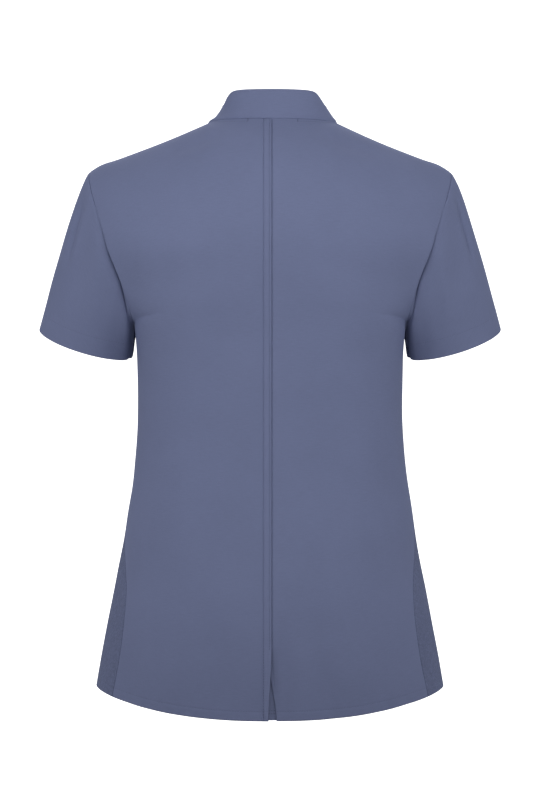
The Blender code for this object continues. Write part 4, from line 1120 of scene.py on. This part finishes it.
def add_sheet(name, sheet, material, side="right"):
    """One panel's mesh. A left one is mirrored."""
    outer, inner, uv = sheet.layers(side)
    if sheet.closed:
        step = uv[:, -1:] - uv[:, -2:-1]
        seam = uv[:, :1] + [1.0, 0.0] * (uv[:, -1:] - uv[:, :1] + step)
        outer, inner, uv = closed_up(outer), closed_up(inner), np.concatenate([uv, seam], axis=1)
    return shell_mesh(name, outer, inner, uv, material)


def add_front(right, left, material):
    """The front as one piece: two halves that share their middle up to the V."""
    count, width = right.points.shape[:2]
    faces = grid_faces(count, width)
    both = np.concatenate([faces, faces[:, ::-1] + count * width])
    middle = (np.arange(right.point_row + 1) + count) * width
    both = np.where(np.isin(both, middle), both - count * width, both)
    used, both = np.unique(both, return_inverse=True)
    pairs = zip(right.layers(), left.layers("left"))
    layers = (np.concatenate(pair).reshape(-1, pair[0].shape[-1])[used] for pair in pairs)
    return shell_mesh("front_cloth", *layers, material, both.reshape(-1, 4))


def add_collar(right, left, material):
    """The collar as one strip: its halves share the column at the centre back."""
    pairs = zip((*right.layers(), right.points), (*left.layers("left"), mirrored(left.points)))
    outer, inner, _, whole = (np.concatenate([a, b[:, -2::-1]], axis=1) for a, b in pairs)
    uv = Sheet(whole, right.outward, COLLAR_CLOTH).layers()[2]
    return shell_mesh("collar_cloth", outer, inner, uv, material)


# ---------------------------------------------------------------- stitches

# The rings of one stitch: places along it, and width and height over the cloth in thread radii.
STITCH_STATIONS = np.array([-0.5, -0.38, 0.0, 0.38, 0.5])
STITCH_WIDTHS = np.array([0.45, 0.85, 1.0, 0.85, 0.45])
STITCH_SINKS = np.array([-1.0, -0.35, 0.15, -0.35, -1.0])


def stitch_row(line, normals, settings, spacing=1.0, thickness=1.0):
    """Points of a row of stitches along a line: each is a thin tube of six sides and five rings,
    widest and highest in its middle. Shape (stitches, rings, sides, 3)."""
    along = lengths_along(line)
    count = max(int(along[-1] / (settings.stitch_pitch * spacing)), 1)
    middles = (np.arange(count) + 0.5) * along[-1] / count
    radius = settings.thread_width / 2 * thickness
    places = middles[:, None] + STITCH_STATIONS * settings.stitch_length * spacing
    on_line, up = read_off(places, along, line), unit(read_off(places, along, normals))
    aside = unit(np.cross(up, unit(np.gradient(on_line, axis=1))))
    turn = np.arange(6)[:, None] * np.pi / 3
    ring = aside[:, :, None] * np.cos(turn) + up[:, :, None] * np.sin(turn)
    centre = on_line + up * (radius * STITCH_SINKS[:, None])
    return centre[:, :, None] + ring * (radius * STITCH_WIDTHS[:, None, None])


def add_thread(name, rows, material, side="right"):
    """One mesh of all the stitches on a panel."""
    points = np.concatenate(rows)
    points = leaned(mirrored(points) if side == "left" else points)
    count, rings, sides = points.shape[:3]
    tube = grid_faces(rings, sides, wrap=True)
    caps = np.array([np.arange(sides)[::-1], np.arange(sides) + (rings - 1) * sides])
    offset = np.arange(count)[:, None, None] * rings * sides
    quads, ends = (tube + offset).reshape(-1, 4), (caps + offset).reshape(-1, sides)
    flat, centres = points.reshape(-1, 3), np.repeat(points.mean(axis=(1, 2)), len(tube), axis=0)
    a, b, c = (flat[quads[:, k]] for k in range(3))
    if (np.cross(b - a, c - a) * (a - centres)).sum() < 0:
        quads, ends = quads[:, ::-1], ends[:, ::-1]
    piece = new_piece(name, flat, quads.tolist() + ends.tolist(), material)
    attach(piece, "root")
    return piece


def row_of(sheet, rows, columns):
    """Points and normals of a line of the grid, on the outer side."""
    return sheet.outer()[rows, columns], sheet.normals[rows, columns]


def hem_thread(sheet, settings, first=1):
    """Stitches along the turned hem, at the grid line nearest to the hem's row."""
    line, columns = nearest(HEM_LINES, HEM_ROW), slice(first, -1)
    if sheet.closed:
        line = -1 - nearest(CUFF_LINES, CUFF_ROW)
        columns = np.append(np.arange(sheet.points.shape[1]), 0)
    return stitch_row(*row_of(sheet, line, columns), settings, thickness=0.6)


def back_thread(sheet, side, settings):
    """Stitches of a back panel: its hem, its part of the neck seam with the tack where that starts,
    and on the left panel the two rows beside the centre back seam with a tack above the vent."""
    neck = len(sheet.points) - 1 - nearest(NECK_LINES, NECK_ROW)
    first = int(np.argmax(sheet.past_tack))
    seam = row_of(sheet, neck, slice(first, sheet.corner + 1))
    tack = row_of(sheet, slice(neck, len(sheet.points) - 2), first)
    rows = [hem_thread(sheet, settings), stitch_row(*seam, settings)]
    rows.append(stitch_row(*tack, settings, spacing=0.5, thickness=3.0))
    for distance in LAP_ROWS if side == "left" else ():
        line, normals = row_of(sheet, slice(1, -2), nearest(LAP_LINES, distance))
        shown = line[:, 2] > (TACK_Z if distance == LAP_ROWS[0] else -1.0)
        rows.append(stitch_row(line[shown], normals[shown], settings, thickness=1.25))
        knot = np.abs(line[:, 2] - TACK_Z) < TACK_HEIGHT
        rows.append(stitch_row(line[knot], normals[knot], settings, 0.4, 1.7))
    return rows


# ---------------------------------------------------------------- finishes


def add_node(tree, kind, inputs=(), **settings):
    """A shader node with the given settings. Each of its inputs, by name or number, takes a value
    or another node's output."""
    node = tree.nodes.new(kind)
    for key, value in settings.items():
        setattr(node, key, value)
    for key, value in dict(inputs).items():
        if isinstance(value, bpy.types.NodeSocket):
            tree.links.new(value, node.inputs[key])
        else:
            node.inputs[key].default_value = value
    return node


def maths(tree, operation, *values):
    """The output of a Math node, whose one or two inputs are outputs or numbers."""
    return add_node(tree, "ShaderNodeMath", dict(enumerate(values)), operation=operation).outputs[0]


def noise(tree, where, scale, detail, roughness):
    inputs = {"Vector": where, "Scale": scale, "Detail": detail, "Roughness": roughness}
    return add_node(tree, "ShaderNodeTexNoise", inputs).outputs["Fac"]


def blend(tree, *shares):
    """The sum of outputs, each times its share."""
    total = 0.0
    for output, share in shares:
        total = maths(tree, "ADD", maths(tree, "MULTIPLY", output, share), total)
    return total


def sine(tree, output, pitch):
    return maths(tree, "SINE", maths(tree, "MULTIPLY", output, 2 * np.pi / pitch))


def cut_waves(tree, pitch_across, pitch_along):
    """The flat cut's own coordinates, their two parts and a sine wave along each."""
    uv = add_node(tree, "ShaderNodeUVMap", uv_map="cut").outputs["UV"]
    parts = add_node(tree, "ShaderNodeSeparateXYZ", {0: uv}).outputs[:2]
    waves = [sine(tree, part, pitch) for part, pitch in zip(parts, (pitch_across, pitch_along))]
    return uv, parts, waves


def object_place(tree):
    return add_node(tree, "ShaderNodeTexCoord").outputs["Object"]


def new_material(name, **inputs):
    """A material whose shader has the given inputs, an underscore standing for a space. Returns it,
    its tree and its shader."""
    material = bpy.data.materials.new(name)
    material.use_nodes = True
    shader = material.node_tree.nodes["Principled BSDF"]
    for key, value in inputs.items():
        shader.inputs[key.replace("_", " ")].default_value = value
    return material, material.node_tree, shader


def new_finish(name, colour, roughness, sheen):
    return new_material(
        name,
        Base_Color=(*colour, 1.0), Roughness=roughness, Specular_IOR_Level=0.15,
        Sheen_Weight=sheen, Sheen_Roughness=0.45, Sheen_Tint=(0.45, 0.55, 1.0, 1.0),
    )


def shade(tree, shader, factor, colour, darker, lighter):
    """Gives the shader a ramp round a colour, from darker to lighter shares of it."""
    ramp = add_node(tree, "ShaderNodeValToRGB", {0: factor})
    ends = zip(ramp.color_ramp.elements, (0.28, 0.72), (darker, lighter))
    for element, position, share in ends:
        element.position, element.color = position, (*(c * share for c in colour), 1.0)
    tree.links.new(ramp.outputs[0], shader.inputs["Base Color"])


def bump(tree, shader, height, strength, distance):
    inputs = {"Height": height, "Strength": strength, "Distance": distance}
    tree.links.new(add_node(tree, "ShaderNodeBump", inputs).outputs[0], shader.inputs["Normal"])


def woven_finish(name, colour):
    """A fine, dense twill: a diagonal rib of 0.5 mm, threads that vary a little in thickness and
    shade along the weft, and a faint cloudiness across the panels."""
    material, tree, shader = new_finish(name, colour, 0.78, 0.10)
    uv, parts, (across, along) = cut_waves(tree, 0.00055, 0.00045)
    stretched = add_node(tree, "ShaderNodeMapping", {"Vector": uv, "Scale": (90.0, 1500.0, 1.0)})
    slub, place = noise(tree, stretched.outputs[0], 1.0, 3.0, 0.6), object_place(tree)
    cloud, grain = noise(tree, place, 16.0, 4.0, 0.55), noise(tree, place, 620.0, 2.0, 0.5)
    rib = sine(tree, maths(tree, "ADD", *parts), 0.0011)
    weave = maths(tree, "ADD", maths(tree, "MULTIPLY", across, along), rib)
    mix = blend(tree, (slub, 0.50), (cloud, 0.30), (grain, 0.20))
    shade(tree, shader, mix, colour, 0.90, 1.10)
    inputs = {"Value": slub, "To Min": 0.70, "To Max": 0.86}
    rough = add_node(tree, "ShaderNodeMapRange", inputs)
    tree.links.new(rough.outputs[0], shader.inputs["Roughness"])
    bump(tree, shader, blend(tree, (weave, 0.25), (slub, 1.2)), 0.30, 0.00012)
    return material


def knit_finish(name, colour):
    """A matt stretch knit: rows of small loops 1.3 by 1.0 mm, mottled from loop to loop."""
    material, tree, shader = new_finish(name, colour, 0.90, 0.12)
    uv, _, waves = cut_waves(tree, 0.0013, 0.0010)
    inputs = {"Vector": uv, "Scale": 760.0, "Randomness": 0.8}
    cell = add_node(tree, "ShaderNodeTexVoronoi", inputs).outputs["Distance"]
    mottle = noise(tree, object_place(tree), 330.0, 3.0, 0.65)
    loops = maths(tree, "MULTIPLY", *waves)
    mix = blend(tree, (mottle, 0.75), (cell, 0.25), (loops, 0.06))
    shade(tree, shader, mix, colour, 0.78, 1.20)
    bump(tree, shader, blend(tree, (loops, 1.0), (mottle, 1.5)), 0.55, 0.00025)
    return material


def thread_finish(name, colour):
    """Spun polyester thread, a little glossier than the cloth, with a fine twist. Its colour is set
    darker than the cloth's, as painted shade along the rows of stitches.
    """
    material, tree, shader = new_finish(name, colour, 0.55, 0.10)
    inputs = {"Vector": object_place(tree), "Scale": 900.0, "Distortion": 2.0, "Detail": 1.0}
    wave = add_node(tree, "ShaderNodeTexWave", inputs, bands_direction="DIAGONAL")
    bump(tree, shader, wave.outputs["Fac"], 0.4, 0.00008)
    shade(tree, shader, wave.outputs["Fac"], colour, 0.86, 1.12)
    return material


FINISH_MAKERS = {
    "woven": ("woven twill", woven_finish),
    "knit": ("stretch knit", knit_finish),
    "thread": ("topstitch thread", thread_finish),
}


def finish_of(word, settings):
    """The woven, knit or thread finish, made on first use."""
    name, make = FINISH_MAKERS[word]
    return bpy.data.materials.get(name) or make(name, tuple(getattr(settings, f"{word}_colour")))


# ---------------------------------------------------------------- pieces in the frame

SIDES = ("right", "left")


def place_cloth(piece, node, sheets):
    """Rides a panel on the frame and puts it in its node's place, hiding that node's solid."""
    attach(piece, "root")
    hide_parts(node)
    sum(s.area() for s in sheets)


def add_panel(node, ending, sheet, rows, settings, side="right"):
    """A panel's cloth and its stitches, in its node's place."""
    slot = "knit" if ending == "knit" else "woven"
    cloth = add_sheet(f"{node}_{ending}", sheet, finish_of(slot, settings), side)
    stitches = add_thread(f"{node}_thread", rows, finish_of("thread", settings), side)
    place_cloth(cloth, node, [sheet])


def add_hemmed(word, ending, side, sheets, settings):
    """A side panel or a sleeve, which have no stitches but their hem's."""
    sheet = sheets[side][word]
    rows, rests_on = [hem_thread(sheet, settings)], [f"back_{side}", "front"]
    add_panel(f"{word}_{side}", ending, sheet, rows, settings, side)


class ScrubTopSettings(PropertyGroup):
    """Sizes and colours that a user would change."""

    crease_depth: FloatProperty(
        name="Crease depth", description="Share of the drawn depth of all creases",
        default=1.0, min=0.0, max=1.5, subtype="FACTOR",
    )
    stitch_pitch: FloatProperty(
        name="Stitch pitch", description="Distance from one topstitch to the next",
        default=0.0031, min=0.002, unit="LENGTH", precision=4,
    )
    stitch_length: FloatProperty(
        name="Stitch length", description="Length of thread that shows in one topstitch",
        default=0.0025, min=0.001, unit="LENGTH", precision=4,
    )
    thread_width: FloatProperty(
        name="Thread width", description="Diameter of the topstitching thread",
        default=0.00042, min=0.0001, unit="LENGTH", precision=5,
    )
    woven_colour: FloatVectorProperty(
        name="Woven cloth", description="Colour of the woven panels, collar and sleeves",
        default=FINISHES["woven"]["base_color"], subtype="COLOR", min=0.0, max=1.0,
    )
    knit_colour: FloatVectorProperty(
        name="Knitted sides", description="Colour of the two knitted side panels",
        default=FINISHES["knit"]["base_color"], subtype="COLOR", min=0.0, max=1.0,
    )
    # Set darker than the cloth: painted shade along the rows of stitches.
    thread_colour: FloatVectorProperty(
        name="Thread", description="Colour of the topstitching",
        default=(0.070, 0.082, 0.145), subtype="COLOR", min=0.0, max=1.0,
    )
    key_power: FloatProperty(
        name="Front light",
        description="Power of the small softbox near the back of the top, which the others follow",
        default=4.2, min=0.0, subtype="POWER",
    )
    fill: FloatProperty(
        name="Fill light", description="Strength of the even light from all round",
        default=0.612, min=0.0,
    )


def cloth_for(context):
    """The settings and the sheets that they give."""
    settings = context.scene.scrub_top
    return settings, cut_cloth(settings.crease_depth)


class SCRUBTOP_OT_backs(Operator):
    """Make the two back panels with their centre back, neck and hem stitching"""

    bl_idname = "scrub_top.backs"
    bl_label = "Back Panels"

    def execute(self, context):
        settings, sheets = cloth_for(context)
        for side in SIDES:
            sheet = sheets[side]["back"]
            rows = back_thread(sheet, side, settings)
            add_panel(f"back_{side}", "cloth", sheet, rows, settings, side)
        return {"FINISHED"}


class SCRUBTOP_OT_front(Operator):
    """Make the front with the stitching along its V and its hem"""

    bl_idname = "scrub_top.front"
    bl_label = "Front"

    def execute(self, context):
        settings, sheets = cloth_for(context)
        halves = [sheets[side]["front"] for side in SIDES]
        cloth = add_front(*halves, finish_of("woven", settings))
        rows = []
        for sheet in halves:
            neck = row_of(sheet, slice(sheet.point_row + 4, -2), nearest(NECK_LINES, NECK_ROW))
            rows.append(np.concatenate([hem_thread(sheet, settings, 0), stitch_row(*neck, settings)]))
        rows[1] = mirrored(rows[1])
        stitches = add_thread("front_thread", rows, finish_of("thread", settings))
        place_cloth(cloth, "front", halves)
        return {"FINISHED"}


class SCRUBTOP_OT_sides(Operator):
    """Make the two knitted side panels with their hem stitching"""

    bl_idname = "scrub_top.sides"
    bl_label = "Side Panels"

    def execute(self, context):
        settings, sheets = cloth_for(context)
        for side in SIDES:
            add_hemmed("side", "knit", side, sheets, settings)
        return {"FINISHED"}


class SCRUBTOP_OT_sleeves(Operator):
    """Make the two set-in sleeves with their hem stitching"""

    bl_idname = "scrub_top.sleeves"
    bl_label = "Sleeves"

    def execute(self, context):
        settings, sheets = cloth_for(context)
        for side in SIDES:
            add_hemmed("sleeve", "cloth", side, sheets, settings)
        return {"FINISHED"}


class SCRUBTOP_OT_collar(Operator):
    """Make the stand collar, which runs down both sides of the V"""

    bl_idname = "scrub_top.collar"
    bl_label = "Collar"

    def execute(self, context):
        settings, sheets = cloth_for(context)
        halves = [sheets[side]["collar"] for side in SIDES]
        cloth = add_collar(*halves, finish_of("woven", settings))
        place_cloth(cloth, "collar", halves)
        return {"FINISHED"}


class SCRUBTOP_OT_underlap(Operator):
    """Make the strip behind the back vent with its stitching"""

    bl_idname = "scrub_top.underlap"
    bl_label = "Vent Underlap"

    def execute(self, context):
        settings, sheets = cloth_for(context)
        sheet, rows = sheets["underlap"], []
        for height in UNDERLAP_STITCHES:
            line = row_of(sheet, nearest(HEM_LINES, height), slice(2, -2))
            rows.append(stitch_row(*line, settings, thickness=1.6))
        edge = row_of(sheet, slice(2, -2), nearest(sheet.right[0], UNDERLAP_STITCH_IN))
        rows.append(stitch_row(*edge, settings))
        add_panel("vent_underlap", "cloth", sheet, rows, settings)
        return {"FINISHED"}


class SCRUBTOP_OT_stage(Operator):
    """Make the camera, the soft lights and the plain white surround"""

    bl_idname = "scrub_top.stage"
    bl_label = "Studio"

    def execute(self, context):
        add_camera(context.scene)
        add_lights(context.scene, context.scene.scrub_top)
        add_flag()
        add_surround()
        context.scene.view_settings.view_transform = "Standard"
        return {"FINISHED"}


# ---------------------------------------------------------------- studio

CAMERA_PLACE, CAMERA_LENS = (0.0, -3.0, -0.3384), 111.11

# Softboxes: place, what it points at, size and share of the front light's power.
LIGHTS = (
    ((0.0, -1.0, 0.08), (0.0, 0.0, -0.25), 0.6, 1.0),
    ((-2.3, -0.8, 0.0), (0.0, 0.0, -0.30), 1.2, 1.43),
    ((2.3, -0.8, 0.0), (0.0, 0.0, -0.30), 1.2, 1.25),
    ((0.0, 0.8, 1.2), (0.0, 0.0, 0.0), 1.0, 0.70),
    ((0.0, -2.2, -1.2), (0.0, 0.0, -0.40), 1.2, 0.84),
    ((0.0, 2.4, 1.5), (0.0, 0.0, -0.30), 2.2, 1.14),
)
FLAG_PLACE, FLAG_RADIUS = (0.0, -0.45, -0.85), 0.45
FLOOR_Z, FLOOR_BEND, SURROUND_RADIUS = -5.6, 2.5, 9.0


def circle(count):
    """Cosines and sines of even turns round a circle."""
    turn = np.linspace(0, 2 * np.pi, count + 1)[:-1]
    return np.cos(turn), np.sin(turn)


def add_camera(scene):
    data = bpy.data.cameras.new("camera")
    data.lens, data.sensor_width, data.sensor_fit = CAMERA_LENS, 36.0, "AUTO"
    scene.camera = bpy.data.objects.new("camera", data)
    scene.camera.location = CAMERA_PLACE
    scene.camera.rotation_euler = (np.pi / 2, 0.0, 0.0)
    scene.collection.objects.link(scene.camera)


def add_lights(scene, settings):
    for k, (place, target, size, share) in enumerate(LIGHTS):
        data = bpy.data.lights.new(f"softbox_{k}", "AREA")
        data.energy, data.size, data.shape = settings.key_power * share, size, "SQUARE"
        light = bpy.data.objects.new(f"softbox_{k}", data)
        light.location = place
        light.rotation_euler = (Vector(target) - Vector(place)).to_track_quat("-Z", "Y").to_euler()
        scene.collection.objects.link(light)
    scene.world = bpy.data.worlds.new("even light")
    scene.world.use_nodes = True
    background = scene.world.node_tree.nodes["Background"]
    background.inputs["Color"].default_value = (1.0, 1.0, 1.0, 1.0)
    background.inputs["Strength"].default_value = settings.fill


def add_flag():
    """A black disc below the hem, out of the camera's sight, which keeps light off it from below."""
    cos, sin = circle(48)
    ring = np.stack([cos, sin, 0 * cos], axis=1) * FLAG_RADIUS + FLAG_PLACE
    black = (0.004, 0.004, 0.004, 1.0)
    felt = new_material("black felt", Base_Color=black, Roughness=1.0, Specular_IOR_Level=0.0)[0]
    flag = new_piece("studio_flag", ring, [list(range(len(ring)))], felt)
    flag.visible_camera = False


def add_surround():
    """A white floor that curves up into a closed dome: a profile of radius and height, turned round
    the vertical axis. The camera sees it, and it throws no light on the cloth."""
    up, size = np.radians(np.linspace(0, 90, 17)), SURROUND_RADIUS
    radius = [[0.01, 3.0], size - FLOOR_BEND * (1 - np.sin(up)), size * np.cos(up[1:])]
    height = [[FLOOR_Z] * 2, FLOOR_Z + FLOOR_BEND * (1 - np.cos(up)), size * np.sin(up[1:])]
    radius, height = np.concatenate(radius)[:, None], np.concatenate(height)[:, None]
    cos, sin = circle(64)
    points = np.stack([radius * cos, radius * sin, height + 0 * cos], axis=-1)
    faces = grid_faces(*points.shape[:2], wrap=True)[:, ::-1]
    grey, white = (0.9, 0.9, 0.9, 1.0), (1.0, 1.0, 1.0, 1.0)
    paper = new_material(
        "white paper", Base_Color=grey, Roughness=1.0, Emission_Color=white, Emission_Strength=1.0
    )[0]
    surround = new_piece("studio_surround", points.reshape(-1, 3), faces.tolist(), paper)
    surround.visible_diffuse = surround.visible_glossy = surround.visible_shadow = False


# ---------------------------------------------------------------- add-on

PIECES = (
    SCRUBTOP_OT_backs,
    SCRUBTOP_OT_front,
    SCRUBTOP_OT_sides,
    SCRUBTOP_OT_sleeves,
    SCRUBTOP_OT_collar,
    SCRUBTOP_OT_underlap,
    SCRUBTOP_OT_stage,
)


class SCRUBTOP_PT_panel(Panel):
    """Lists the pieces of the scrub top and what a user may change"""

    bl_idname = "SCRUBTOP_PT_panel"
    bl_label = "Scrub Top"
    bl_space_type = "VIEW_3D"
    bl_region_type = "UI"
    bl_category = "Scrub Top"

    def draw(self, context):
        settings = context.scene.scrub_top
        for name in ScrubTopSettings.__annotations__:
            self.layout.prop(settings, name)
        for piece in PIECES:
            self.layout.operator(piece.bl_idname)


CLASSES = (ScrubTopSettings, *PIECES, SCRUBTOP_PT_panel)


def register():
    for item in CLASSES:
        bpy.utils.register_class(item)
    bpy.types.Scene.scrub_top = PointerProperty(type=ScrubTopSettings)


def unregister():
    del bpy.types.Scene.scrub_top
    for item in reversed(CLASSES):
        bpy.utils.unregister_class(item)


def main():
    register()
    for piece in PIECES:
        group, name = piece.bl_idname.split(".")
        getattr(getattr(bpy.ops, group), name)()


if __name__ == "__main__":
    main()
